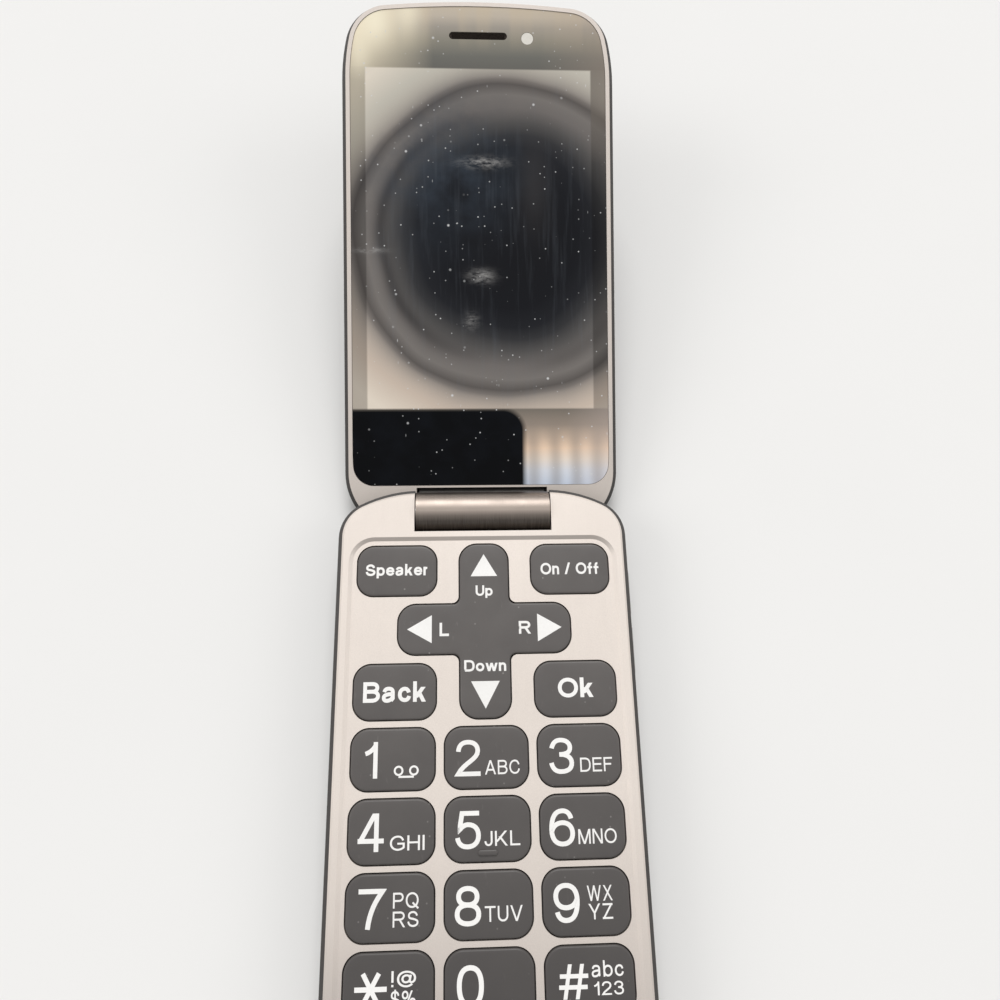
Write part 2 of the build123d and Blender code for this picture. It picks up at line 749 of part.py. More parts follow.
with BuildPart() as keypad_mat:
    with BuildSketch(base_at(mat_level)):
        with Locations((0, -(mat_tail + mat_nose) / 2)):
            RectangleRounded(2 * mat_half_width, mat_nose - mat_tail, mat_corner)
        with Locations(*nose_screws):
            Circle(pillar_radius + 2 * seat_play, mode=Mode.SUBTRACT)
    extrude(amount=mat_thickness)
    with BuildSketch(base_at(mat_top)):
        with Locations(*dome_sites[:-4]):
            RegularPolygon(nub_radius, 6)
    extrude(amount=nub_height)
    with BuildSketch(base_at(mat_top)):
        with Locations(*dome_sites[-4:]):
            RegularPolygon(nub_radius, 6)
    extrude(amount=pad_nub_height)
keypad_mat.part.label = "keypad_mat"
export_step(keypad_mat.part, "parts/keypad_mat.step")

with BuildPart() as loudspeaker:
    with BuildSketch(base_at(frame_top + seat_play / 2)):
        with Locations((shell_width / 2 - speaker_site[0], -speaker_site[1])):
            RectangleRounded(speaker_size[0], speaker_size[1], speaker_corner)
    extrude(amount=speaker_size[2])
    with BuildSketch(base_at(frame_top)):
        with Locations((shell_width / 2 - speaker_site[0], -speaker_site[1])):
            RectangleRounded(
                speaker_size[0] - 2 * speaker_rim, speaker_size[1] - 2 * speaker_rim, speaker_corner
            )
    extrude(amount=speaker_rim / 2, mode=Mode.SUBTRACT)
loudspeaker.part.label = "loudspeaker"
export_step(loudspeaker.part, "parts/loudspeaker.step")

with BuildPart() as vibration_motor:
    with BuildSketch(base_at(frame_top + seat_play / 2)):
        with Locations((motor_site[0] - shell_width / 2, -motor_site[1])):
            Circle(motor_radius)
    extrude(amount=motor_height)
vibration_motor.part.label = "vibration_motor"
export_step(vibration_motor.part, "parts/vibration_motor.step")

with BuildPart() as shield_can:
    with BuildSketch(base_at(board_level)):
        with Locations((shield_site[0], -shield_site[1])):
            RectangleRounded(shield_size[0], shield_size[1], shield_corner)
    extrude(amount=-shield_size[2])
    with BuildSketch(base_at(board_level)):
        with Locations((shield_site[0], -shield_site[1])):
            Rectangle(shield_size[0] - 2 * shield_wall, shield_size[1] - 2 * shield_wall)
    extrude(amount=shield_wall - shield_size[2], mode=Mode.SUBTRACT)
shield_can.part.label = "shield_can"
export_step(shield_can.part, "parts/shield_can.step")

with BuildPart() as sim_socket:
    with BuildSketch(base_at(board_level)):
        with Locations((socket_site[0], -socket_site[1])):
            Rectangle(socket_size[0], socket_size[1])
    extrude(amount=-socket_size[2])
    with BuildSketch(base_at(board_level - shield_wall)):
        with Locations((socket_site[0] + socket_rim, -socket_site[1])):
            Rectangle(socket_size[0], socket_size[1] - 2 * socket_rim)
    extrude(amount=2 * shield_wall - socket_size[2], mode=Mode.SUBTRACT)
sim_socket.part.label = "sim_socket"
export_step(sim_socket.part, "parts/sim_socket.step")

with BuildPart() as charging_port:
    with BuildSketch(nose_side.offset(-port_recess)):
        with Locations((0, port_level)):
            RectangleRounded(port_size[0], port_size[2], port_corner)
    extrude(amount=-port_size[1])
    with BuildSketch(nose_side.offset(-port_recess)):
        with Locations((0, port_level)):
            RectangleRounded(
                port_size[0] - 2 * port_wall, port_size[2] - 2 * port_wall, port_corner - port_wall
            )
    extrude(amount=port_wall - port_size[1], mode=Mode.SUBTRACT)
    with BuildSketch(nose_side.offset(-2 * port_recess)):
        with Locations((0, port_level)):
            Rectangle(port_tongue[0], port_tongue[1])
    extrude(amount=port_recess - port_size[1])
charging_port.part.label = "charging_port"
export_step(charging_port.part, "parts/charging_port.step")

with BuildPart() as headset_jack:
    with BuildSketch(nose_side.offset(jack_front - nose_reach)):
        with Locations((jack_offset, jack_level)):
            Rectangle(jack_size[0], jack_size[2])
    extrude(amount=-jack_size[1])
    with BuildSketch(nose_side.offset(jack_front - nose_reach)):
        with Locations((jack_offset, jack_level)):
            Circle(jack_collar)
    extrude(amount=jack_mouth - jack_front)
    with BuildSketch(nose_side.offset(jack_mouth - nose_reach)):
        with Locations((jack_offset, jack_level)):
            Circle(jack_bore)
    extrude(amount=-jack_depth, mode=Mode.SUBTRACT)
headset_jack.part.label = "headset_jack"
export_step(headset_jack.part, "parts/headset_jack.step")

with BuildPart() as microphone:
    with BuildSketch(base_at(board_top)):
        with Locations((0, -mic_reach)):
            Circle(mic_radius)
    extrude(amount=mic_height)
microphone.part.label = "microphone"
export_step(microphone.part, "parts/microphone.step")

with BuildPart() as volume_switch:
    switch_side = rocker_side.offset(switch_front - shell_width / 2)
    with BuildSketch(switch_side):
        with GridLocations(switch_spread, 0, 2, 1):
            Rectangle(switch_button[1], switch_button[2])
    extrude(amount=-switch_button[0])
    with BuildSketch(switch_side.offset(-switch_button[0])):
        Rectangle(switch_plate[1], switch_plate[2])
    extrude(amount=-switch_plate[0])
    with BuildSketch(base_at(board_level + seat_play)):
        with Locations((board_half_width + seat_play / 2, -rocker_reach)):
            Rectangle(
                switch_front - switch_button[0] - board_half_width - seat_play / 2,
                switch_foot,
                align=(Align.MIN, Align.CENTER),
            )
    extrude(amount=board_thickness - seat_play)
volume_switch.part.label = "volume_switch"
export_step(volume_switch.part, "parts/volume_switch.step")

with BuildPart() as case_screws:
    for sites, seat in ((ear_screws, cover_floor), (nose_screws, cover_height)):
        with BuildSketch(base_at(seat)):
            with Locations(*sites):
                Circle(screw_head[0])
        extrude(amount=screw_head[1])
        with BuildSketch(base_at(seat + screw_head[1])):
            with Locations(*sites):
                RegularPolygon(screw_radius, 8)
        extrude(amount=deck_split + screw_bite - seat - screw_head[1])
case_screws.part.label = "case_screws"
export_step(case_screws.part, "parts/case_screws.step")

# ------------------------------------------------------------------ hinge
with BuildPart() as hinge_shaft:
    with BuildSketch(base_side.offset(-notch_half - shaft_reach)):
        Circle(shaft_radius)
        Rectangle(3 * shaft_radius, 2 * shaft_flat, mode=Mode.INTERSECT)
    extrude(amount=shaft_reach)
    with BuildSketch(base_side.offset(-notch_half)):
        Circle(shaft_radius)
    extrude(amount=cam_start + notch_half)
    with BuildSketch(base_side.offset(cam_start)):
        Circle(cam_radius)
    extrude(amount=cam_length)
    with BuildSketch(base_side.offset(dog_start)):
        add(wedge(cam_radius, right_angle - dog_span / 2, dog_span))
    extrude(amount=dog_height)
    with BuildSketch(base_side.offset(dog_start)):
        Circle(guide_radius)
    extrude(amount=spring_end - dog_start)
hinge_shaft.part.label = "hinge_shaft"
export_step(hinge_shaft.part, "parts/hinge_shaft.step")

with BuildPart() as hinge_cam:
    with BuildSketch(base_side.offset(follower_start)):
        Circle(cam_radius)
    extrude(amount=cam_length)
    with BuildSketch(base_side.offset(follower_start)):
        add(wedge(cam_radius, right_angle + dog_span / 2 + dog_play, dog_span))
    extrude(amount=-dog_height)
    with BuildSketch(base_side.offset(dog_start)):
        Circle(guide_radius + bore_play)
    extrude(amount=2 * cam_length, mode=Mode.SUBTRACT)
hinge_cam.part.label = "hinge_cam"
export_step(hinge_cam.part, "parts/hinge_cam.step")

with BuildPart() as hinge_cartridge:
    with BuildSketch(base_side.offset(cartridge_start)):
        Circle(cartridge_radius)
    extrude(amount=cartridge_length)
    with BuildSketch(base_side.offset(cartridge_start + cartridge_wall)):
        Circle(cartridge_radius - cartridge_wall)
    extrude(amount=cartridge_length - 2 * cartridge_wall, mode=Mode.SUBTRACT)
    with BuildSketch(base_side.offset(cartridge_start)):
        Circle(shaft_radius + bore_play)
    extrude(amount=cartridge_wall, mode=Mode.SUBTRACT)
hinge_cartridge.part.label = "hinge_cartridge"
export_step(hinge_cartridge.part, "parts/hinge_cartridge.step")

with BuildPart() as hinge_spring:
    spring_length = spring_end - spring_start - spring_wire
    with BuildLine():
        coil = Helix(
            pitch=spring_length / spring_turns,
            height=spring_length,
            radius=spring_radius,
            center=(spring_start + spring_wire / 2, hinge_y, hinge_z),
            direction=(1, 0, 0),
        )
    with BuildSketch(Plane(coil @ 0, x_dir=(1, 0, 0), z_dir=coil % 0)):
        Rectangle(spring_wire, spring_wire)
    sweep(path=coil, is_frenet=True)
hinge_spring.part.label = "hinge_spring"
export_step(hinge_spring.part, "parts/hinge_spring.step")

with BuildPart() as hinge_bush:
    with BuildSketch(base_side.offset(bush_start)):
        Circle(bush_radius)
        Circle(bush_bore, mode=Mode.SUBTRACT)
    extrude(amount=notch_half + bush_reach - bush_start)
hinge_bush.part.label = "hinge_bush"
export_step(hinge_bush.part, "parts/hinge_bush.step")

with BuildPart() as base_flex_cable:
    roll_end = notch_half + bush_reach + duct_play + flex_width
    roll_start = lid_roll_start + flex_width + flex_gap
    with BuildSketch(base_side.offset(roll_start)):
        Circle(flex_roll)
        Circle(flex_roll - flex_thickness, mode=Mode.SUBTRACT)
    extrude(amount=roll_end - roll_start)
    with BuildSketch(base_side.offset(roll_end - flex_width)):
        with Locations((-flex_roll + flex_thickness / 2, board_top + bore_play - hinge_z)):
            Rectangle(
                flex_end - flex_roll + flex_thickness / 2, flex_thickness, align=(Align.MAX, Align.MIN)
            )
    extrude(amount=flex_width)
base_flex_cable.part.label = "base_flex_cable"
export_step(base_flex_cable.part, "parts/base_flex_cable.step")

with BuildPart() as hinge_barrel:
    with BuildSketch(lid_side):
        Circle(barrel_radius)
        Circle(barrel_radius - sleeve_wall, mode=Mode.SUBTRACT)
        add(wedge(2 * barrel_radius, sleeve_gap[0], sleeve_gap[1] - sleeve_gap[0]), mode=Mode.SUBTRACT)
    extrude(amount=barrel_length / 2, both=True)
    for start in (knuckle_half, -barrel_length / 2):
        with BuildSketch(lid_side.offset(start)):
            Circle(barrel_radius)
            Circle(cartridge_radius, mode=Mode.SUBTRACT)
            add(wedge(2 * barrel_radius, sleeve_gap[0], sleeve_gap[1] - sleeve_gap[0]), mode=Mode.SUBTRACT)
        extrude(amount=sleeve_wall / 2)
hinge_barrel.part.label = "hinge_barrel"
export_step(hinge_barrel.part, "parts/hinge_barrel.step")

# ------------------------------------------------------------------ lid
with BuildPart() as lid_chassis:
    with BuildSketch(lid_at(chassis_level)):
        add(lid_plan(chassis_inset))
        with Locations((0, -chassis_tail)):
            Rectangle(
                2 * shell_width, 2 * nose_reach, align=(Align.CENTER, Align.MAX), mode=Mode.INTERSECT
            )
    extrude(amount=chassis_thickness)
    with BuildSketch(lid_side):
        Circle(knuckle_radius)
        with BuildLine():
            Polyline(*neck_outline, close=True)
        make_face()
    extrude(amount=knuckle_half, both=True)
    with BuildSketch(lid_side.offset(-knuckle_half)):
        Circle(cartridge_radius + bore_play)
    extrude(amount=cartridge_length + 2 * wall_gap, mode=Mode.SUBTRACT)
    with BuildSketch(lid_side.offset(knuckle_half)):
        Circle(bush_radius + bore_play)
    extrude(amount=-bush_bed, mode=Mode.SUBTRACT)
    with BuildSketch(lid_side.offset(lid_roll_start - seat_play)):
        add(ribbon(flex_path, flex_thickness + 2 * duct_play))
    extrude(amount=flex_width + 2 * seat_play, mode=Mode.SUBTRACT)
lid_chassis.part.label = "lid_chassis"
export_step(lid_chassis.part, "parts/lid_chassis.step")

with BuildPart() as lid_flex_cable:
    with BuildSketch(lid_side.offset(lid_roll_start)):
        Circle(flex_roll)
        Circle(flex_roll - flex_thickness, mode=Mode.SUBTRACT)
        add(ribbon(flex_path, flex_thickness))
    extrude(amount=flex_width)
lid_flex_cable.part.label = "lid_flex_cable"
export_step(lid_flex_cable.part, "parts/lid_flex_cable.step")

with BuildPart() as lid_inner_frame:
    with BuildSketch(lid_at(rim_split)):
        add(lid_plan(lid_wall + seat_play))
    extrude(amount=frame_depth - rim_edge)
    with BuildSketch(lid_side):
        add(lid_profile(lid_wall + seat_play))
    extrude(amount=shell_width, both=True, mode=Mode.INTERSECT)
    with BuildSketch(lid_at(parting)):
        add(lid_plan(face_inset))
        add(tail_cut(face_inset / 2), mode=Mode.SUBTRACT)
    extrude(amount=rim_edge)
    # Bed of the window, then the openings for the display and the earpiece.
    with BuildSketch(lid_at(parting)):
        add(window_plan(0))
    extrude(amount=pocket_floor - parting, mode=Mode.SUBTRACT)
    with BuildSketch(lid_at(parting)):
        with Locations((0, -display_reach)):
            Rectangle(display_size[0] + 2 * display_play, display_size[1] + 2 * display_play)
        with Locations((0, -slot_reach)):
            Rectangle(receiver_size[0] + 2 * display_play, receiver_size[1] + 2 * display_play)
        with Locations((0, -groove_reach)):
            Rectangle(2 * groove_half, 4 * groove_reach, align=(Align.CENTER, Align.MIN))
    extrude(amount=frame_depth, mode=Mode.SUBTRACT)
lid_inner_frame.part.label = "lid_inner_frame"
export_step(lid_inner_frame.part, "parts/lid_inner_frame.step")

with BuildPart() as display_window:
    with BuildSketch(lid_at(window_top)):
        add(window_plan(window_play))
        with Locations((0, -slot_reach)):
            SlotOverall(slot_size[0], slot_size[1], mode=Mode.SUBTRACT)
        with Locations((sensor_site[0], sensor_site[1] - nose_reach)):
            Circle(sensor_radius + sensor_play, mode=Mode.SUBTRACT)
    extrude(amount=window_thickness)
display_window.part.label = "display_window"
export_step(display_window.part, "parts/display_window.step")

with BuildPart() as sensor_lens:
    with BuildSketch(lid_at(window_top + sensor_play)):
        with Locations((sensor_site[0], sensor_site[1] - nose_reach)):
            Circle(sensor_radius)
    extrude(amount=window_thickness - sensor_play)
sensor_lens.part.label = "sensor_lens"
export_step(sensor_lens.part, "parts/sensor_lens.step")

with BuildPart() as earpiece_mesh:
    with BuildSketch(lid_at(window_top + mesh_recess)):
        with Locations((0, -slot_reach)):
            SlotOverall(slot_size[0] - 2 * sensor_play, slot_size[1] - 2 * sensor_play)
    extrude(amount=window_thickness - mesh_recess)
earpiece_mesh.part.label = "earpiece_mesh"
export_step(earpiece_mesh.part, "parts/earpiece_mesh.step")

with BuildPart() as earpiece:
    with BuildSketch(lid_at(chassis_level - seat_play / 2)):
        with Locations((0, -slot_reach)):
            RectangleRounded(receiver_size[0], receiver_size[1], shield_corner)
    extrude(amount=-receiver_size[2])
earpiece.part.label = "earpiece"
export_step(earpiece.part, "parts/earpiece.step")

with BuildPart() as main_display:
    with BuildSketch(lid_at(chassis_level - seat_play / 2)):
        with Locations((0, -display_reach)):
            Rectangle(display_size[0], display_size[1])
    extrude(amount=-display_size[2])
main_display.part.label = "main_display"
export_step(main_display.part, "parts/main_display.step")

with BuildPart() as lid_board:
    with BuildSketch(lid_at(chassis_top + seat_play / 2)):
        with Locations((0, -lid_board_reach)):
            RectangleRounded(lid_board_size[0], lid_board_size[1], shield_corner)
    extrude(amount=lid_board_size[2])
lid_board.part.label = "lid_board"
export_step(lid_board.part, "parts/lid_board.step")

with BuildPart() as outer_display:
    with BuildSketch(lid_at(chassis_top + seat_play / 2)):
        with Locations((0, -outer_display_reach)):
            Rectangle(outer_display_size[0], outer_display_size[1])
    extrude(amount=outer_display_size[2])
outer_display.part.label = "outer_display"
export_step(outer_display.part, "parts/outer_display.step")

with BuildPart() as camera_module:
    with BuildSketch(lid_at(chassis_top + seat_play / 2)):
        with Locations((0, -camera_reach)):
            RectangleRounded(camera_size[0], camera_size[1], shield_corner)
    extrude(amount=camera_size[2])
camera_module.part.label = "camera_module"
export_step(camera_module.part, "parts/camera_module.step")

with BuildPart() as lid_magnet:
    with BuildSketch(lid_at(chassis_top + seat_play / 2)):
        with Locations((-magnet_site[0], magnet_site[1] - nose_reach)):
            Rectangle(magnet_size[0], magnet_size[1])
    extrude(amount=magnet_size[2])
lid_magnet.part.label = "lid_magnet"
export_step(lid_magnet.part, "parts/lid_magnet.step")

with BuildPart() as lid_space:
    with BuildSketch(lid_at(rim_split)):
        add(lid_plan(lid_wall))
    extrude(amount=ceiling - rim_split)
    inner_face = lid_space.faces().filter_by(lambda f: f.normal_at().dot(lid_plane.z_dir) > 0.999)
    fillet(inner_face.edges(), edge_radius - lid_wall)
    with BuildSketch(lid_side):
        add(lid_profile(lid_wall))
    extrude(amount=shell_width, both=True, mode=Mode.INTERSECT)

with BuildPart() as lid_outer_cover:
    add(lid_form)
    add(lid_space, mode=Mode.SUBTRACT)
    with BuildSketch(lid_side):
        with Locations((0, rim_split)):
            Rectangle(4 * nose_reach, 2 * lid_height, align=(Align.CENTER, Align.MAX))
    extrude(amount=shell_width, both=True, mode=Mode.SUBTRACT)
    # Opening for the neck of the chassis.
    with BuildSketch(lid_side):
        with BuildLine():
            Polyline(*neck_outline, close=True)
        make_face()
        offset(amount=neck_play, kind=Kind.INTERSECTION)
    extrude(amount=knuckle_half + neck_play, both=True, mode=Mode.SUBTRACT)
    # Seat of the outer window and the opening behind it, then the hole of the camera ring.
    with BuildSketch(lid_at(skin)):
        with Locations((0, -outer_display_reach)):
            RectangleRounded(outer_window_size[0], outer_window_size[1], outer_window_corner)
    extrude(amount=-outer_window_size[2], mode=Mode.SUBTRACT)
    with BuildSketch(lid_at(skin)):
        with Locations((0, -outer_display_reach)):
            Rectangle(
                outer_window_size[0] - 2 * outer_window_ledge,
                outer_window_size[1] - 2 * outer_window_ledge,
            )
        with Locations((0, -camera_reach)):
            Circle(camera_ring_radius + bore_play)
    extrude(amount=-2 * lid_wall, mode=Mode.SUBTRACT)
lid_outer_cover.part.label = "lid_outer_cover"
export_step(lid_outer_cover.part, "parts/lid_outer_cover.step")

with BuildPart() as outer_window:
    with BuildSketch(lid_at(skin)):
        with Locations((0, -outer_display_reach)):
            RectangleRounded(
                outer_window_size[0] - seat_play,
                outer_window_size[1] - seat_play,
                outer_window_corner - seat_play / 2,
            )
    extrude(amount=-outer_window_size[2])
outer_window.part.label = "outer_window"
export_step(outer_window.part, "parts/outer_window.step")

with BuildPart() as camera_ring:
    with BuildSketch(lid_at(chassis_top + seat_play / 2 + camera_size[2])):
        with Locations((0, -camera_reach)):
            Circle(camera_ring_radius)
            Circle(camera_glass + bore_play, mode=Mode.SUBTRACT)
    extrude(amount=skin + camera_ring_stand - chassis_top - seat_play / 2 - camera_size[2])
camera_ring.part.label = "camera_ring"
export_step(camera_ring.part, "parts/camera_ring.step")

with BuildPart() as camera_lens:
    with BuildSketch(lid_at(skin + camera_ring_stand - camera_glass_recess)):
        with Locations((0, -camera_reach)):
            Circle(camera_glass)
    extrude(amount=-camera_glass_thickness)
camera_lens.part.label = "camera_lens"
export_step(camera_lens.part, "parts/camera_lens.step")

# ------------------------------------------------------------------ keys
for name, (x, y, width, height) in key_sites.items():
    with BuildPart() as key_cap:
        with BuildSketch(Plane((x, hinge_y + y, lip_bottom))) as lip:
            Rectangle(width + 2 * key_lip, height + 2 * key_lip)
            chamfer(lip.vertices(), lip_corner)
        extrude(amount=key_lip_height)
        with BuildSketch(Plane((x, hinge_y + y, lip_bottom))):
            RectangleRounded(width, height, key_corner)
        extrude(amount=key_top - lip_bottom)
        chamfer(key_cap.faces().sort_by(Axis.Z)[-1].edges(), key_chamfer)
        if name == "key_5":
            with BuildSketch(Plane((x, hinge_y + y, key_top - key_chamfer))):
                with Locations((0, -tactile_drop)):
                    Rectangle(tactile_bar[0], tactile_bar[1])
            extrude(amount=key_chamfer + tactile_bar[2])
    key_cap.part.label = name
    export_step(key_cap.part, f"parts/{name}.step")

with BuildPart() as dpad_key:
    with BuildSketch(base_at(pad_bottom)):
        with Locations((0, -pad_reach)):
            Rectangle(pad_span + 2 * key_lip, pad_arm + 2 * key_lip)
            Rectangle(pad_arm + 2 * key_lip, pad_span + 2 * key_lip)
    extrude(amount=pad_lip_height)
    with BuildSketch(base_at(pad_bottom)):
        with Locations((0, -pad_reach)):
            add(cross(pad_span, pad_arm, pad_tip, pad_notch))
    extrude(amount=key_top - pad_bottom)
    chamfer(dpad_key.faces().sort_by(Axis.Z)[-1].edges(), key_chamfer)
dpad_key.part.label = "dpad_key"
export_step(dpad_key.part, "parts/dpad_key.step")

with BuildPart() as dpad_pivot:
    with BuildSketch(base_at(mat_top + pad_tilt_gap)):
        with Locations((0, -pad_reach)):
            Circle(pivot_radius)
    extrude(amount=pad_bottom - mat_top - 2 * pad_tilt_gap)
dpad_pivot.part.label = "dpad_pivot"
export_step(dpad_pivot.part, "parts/dpad_pivot.step")

with BuildPart() as volume_rocker:
    with BuildSketch(rocker_side.offset(rocker_back - shell_width / 2)):
        SlotOverall(rocker_length + 2 * rocker_lip[0], rocker_height + 2 * rocker_lip[0])
    extrude(amount=rocker_lip[1])
    with BuildSketch(rocker_side.offset(rocker_back - shell_width / 2)):
        SlotOverall(rocker_length, rocker_height)
    extrude(amount=shell_width / 2 + rocker_stand - rocker_back)
    with BuildSketch(rocker_side.offset(rocker_stand - rocker_dip)):
        Rectangle(rocker_dip_width, 2 * rocker_height)
    extrude(amount=rocker_dip, mode=Mode.SUBTRACT)
volume_rocker.part.label = "volume_rocker"
export_step(volume_rocker.part, "parts/volume_rocker.step")
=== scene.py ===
"""Dresses an open flip phone: key caps and their print, window, hinge barrel, shells and works."""

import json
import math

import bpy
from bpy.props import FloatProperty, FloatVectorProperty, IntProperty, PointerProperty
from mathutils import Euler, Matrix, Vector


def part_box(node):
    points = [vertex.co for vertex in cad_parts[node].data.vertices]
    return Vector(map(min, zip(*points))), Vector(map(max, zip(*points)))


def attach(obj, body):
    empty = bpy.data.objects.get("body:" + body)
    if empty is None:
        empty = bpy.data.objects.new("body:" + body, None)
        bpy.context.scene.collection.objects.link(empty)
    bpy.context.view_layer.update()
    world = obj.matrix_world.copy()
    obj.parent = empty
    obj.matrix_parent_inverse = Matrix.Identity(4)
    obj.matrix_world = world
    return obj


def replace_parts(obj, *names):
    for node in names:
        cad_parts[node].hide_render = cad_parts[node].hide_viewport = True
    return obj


bl_info = {
    "name": "Flip Phone",
    "version": (1, 0, 0),
    "blender": (4, 5, 0),
    "location": "3D View > Sidebar > Phone",
    "description": "Makes the visible pieces and finishes of a flip phone around its fixed frame",
    "category": "Object",
}

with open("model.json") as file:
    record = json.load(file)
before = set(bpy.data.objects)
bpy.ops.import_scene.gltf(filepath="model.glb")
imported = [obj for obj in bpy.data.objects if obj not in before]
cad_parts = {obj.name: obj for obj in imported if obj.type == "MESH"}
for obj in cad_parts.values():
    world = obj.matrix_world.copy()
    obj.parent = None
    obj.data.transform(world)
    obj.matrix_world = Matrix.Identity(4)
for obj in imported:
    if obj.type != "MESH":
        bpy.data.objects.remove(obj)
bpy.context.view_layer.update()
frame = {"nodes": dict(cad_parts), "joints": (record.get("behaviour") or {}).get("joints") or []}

MM = 0.001
HINGE = next(joint for joint in frame["joints"] if joint["name"] == "lid_hinge")
AXIS = Vector(HINGE["pos_m"]) / MM
LID_RISE = math.radians(180 - HINGE["range_deg"][1])
LID_OUT = Vector((0, math.sin(LID_RISE), -math.cos(LID_RISE)))


def shade(red, green, blue):
    """Colour as the shaders take it, from the numbers of a paint chart."""

    def linear(value):
        part = value / 255
        return part / 12.92 if part <= 0.04045 else ((part + 0.055) / 1.055) ** 2.4

    return (linear(red), linear(green), linear(blue))


def colour(name, description, default):
    return FloatVectorProperty(
        name=name, description=description, default=default, subtype="COLOR", size=3, min=0, max=1
    )


def length(name, description, default):
    return FloatProperty(
        name=name, description=description, default=default * MM, unit="LENGTH", min=0
    )


def level(name, description, default):
    return FloatProperty(name=name, description=description, default=default, min=0)


# ---------------------------------------------------------------- settings
class PhoneColours(bpy.types.PropertyGroup):
    """Colours of the phone's finishes."""

    silver: colour("Silver", "Metallic paint of the deck and the lid's frame", shade(230, 220, 211))
    # The silver's grain tone is also the tone of its painted shade towards the nose.
    silver_grain_and_shade: colour("Silver Grain", "Darker flakes in the silver paint", shade(186, 177, 170))
    key: colour("Keys", "Plastic of the keys", shade(88, 84, 82))
    key_worn: colour("Key Wear", "Paler tone where the keys are handled", shade(104, 100, 97))
    legend: colour("Print", "Ink of the letters and figures", shade(245, 243, 240))
    shell: colour("Shell", "Outer plastic of both halves", shade(60, 57, 55))
    barrel: colour("Barrel", "Brushed sleeve of the hinge", shade(104, 96, 90))
    glass: colour("Glass", "Black border of the window", shade(4, 5, 8))
    # Tones of the painted reflection on the window over the screen, near the hinge and near the
    # earpiece.
    reflection_foot: colour("Screen Foot", "Glow of the screen near the hinge", shade(204, 188, 173))
    reflection_head: colour("Screen Head", "Glow near the earpiece", shade(196, 191, 179))
    rocker: colour("Rocker", "Volume rocker", shade(150, 146, 143))
    floor: colour("Floor", "Pale floor", shade(236, 235, 233))


class PhoneSizes(bpy.types.PropertyGroup):
    """Sizes of the dressed pieces."""

    key_round: length("Key Rounding", "Radius of the caps' upper edges", 0.38)
    key_crown: length("Key Crown", "Rise of the caps' middle over their edges", 0.12)
    print_depth: length("Print Depth", "Thickness of the printed ink", 0.02)
    corner_steps: IntProperty(
        name="Corner Steps", description="Faces round each corner of a cap",
        default=10, min=3, max=32
    )


class PhoneStage(bpy.types.PropertyGroup):
    """Floor, lamps and camera."""

    floor_size: length("Floor Size", "Side of the floor", 4000)
    lamp_power: level("Lamp Power", "Strength of the soft lamp behind", 1.95)
    side_power: level("Side Power", "Strength of the lamp on the left", 0.5)
    world_level: level("World Level", "Strength of the even light all round", 0.5)
    backdrop_level: level("Backdrop Level", "Brightness of the backdrop as it is seen", 0.82)
    focal_length: level("Focal Length", "Focal length of the lens in millimetres", 26.05)


# ---------------------------------------------------------------- finishes
# Share of the cells that stay clean, and how far towards the nose the finishes darken with painted
# shade.
DUST_RARE = 0.72
NOSE = -55 * MM


class Graph:
    """A node tree in the making, with the calls that finishes, the world and shapes share."""

    def __init__(self, tree):
        self.tree = tree

    def add(self, kind, inputs=None, **settings):
        """A node with its settings, and with values, links or lists of links as its inputs."""
        made = self.tree.nodes.new(kind)
        for key, value in settings.items():
            setattr(made, key, value)
        for key, value in (inputs or {}).items():
            for one in value if isinstance(value, list) else [value]:
                self.join(one, made.inputs[key])
        return made

    def join(self, value, socket):
        if isinstance(value, bpy.types.NodeSocket):
            self.tree.links.new(value, socket)
        elif socket.type == "RGBA" and len(value) == 3:
            socket.default_value = (*value, 1)
        else:
            socket.default_value = value

    def node(self, kind, inputs=None, **settings):
        return self.add("ShaderNode" + kind, inputs, **settings)

    def parts(self, vector):
        """The three parts of a vector."""
        return self.node("SeparateXYZ", {0: vector}).outputs

    def math(self, operation, first, second=0.0):
        return self.node("Math", {0: first, 1: second}, operation=operation).outputs[0]

    def times(self, first, second):
        return self.math("MULTIPLY", first, second)

    def most(self, first, second):
        return self.math("MAXIMUM", first, second)

    def ranged(self, value, low, high, to_low=0.0, to_high=1.0):
        inputs = {"Value": value, "From Min": low, "From Max": high}
        inputs.update({"To Min": to_low, "To Max": to_high})
        return self.node("MapRange", inputs).outputs[0]

    def mix(self, factor, first, second):
        return self.node("Mix", {0: factor, 6: first, 7: second}, data_type="RGBA").outputs[2]

    def ramp(self, value, stops):
        """Colour from a value, through stops of value and colour."""
        low, high = min(stops), max(stops)
        made = self.node("ValToRGB", {"Fac": self.ranged(value, low, high)})
        marks = made.color_ramp.elements
        while len(marks) < len(stops):
            marks.new(0.5)
        for mark, place in zip(marks, stops):
            mark.position = (place - low) / (high - low)
        for mark, tone in zip(marks, stops.values()):
            mark.color = (*tone, 1)
        return made.outputs[0]

    def chart(self, value, stops):
        """Colour from a value, through stops of value and paint chart numbers."""
        return self.ramp(value, {place: shade(*tone) for place, tone in stops.items()})


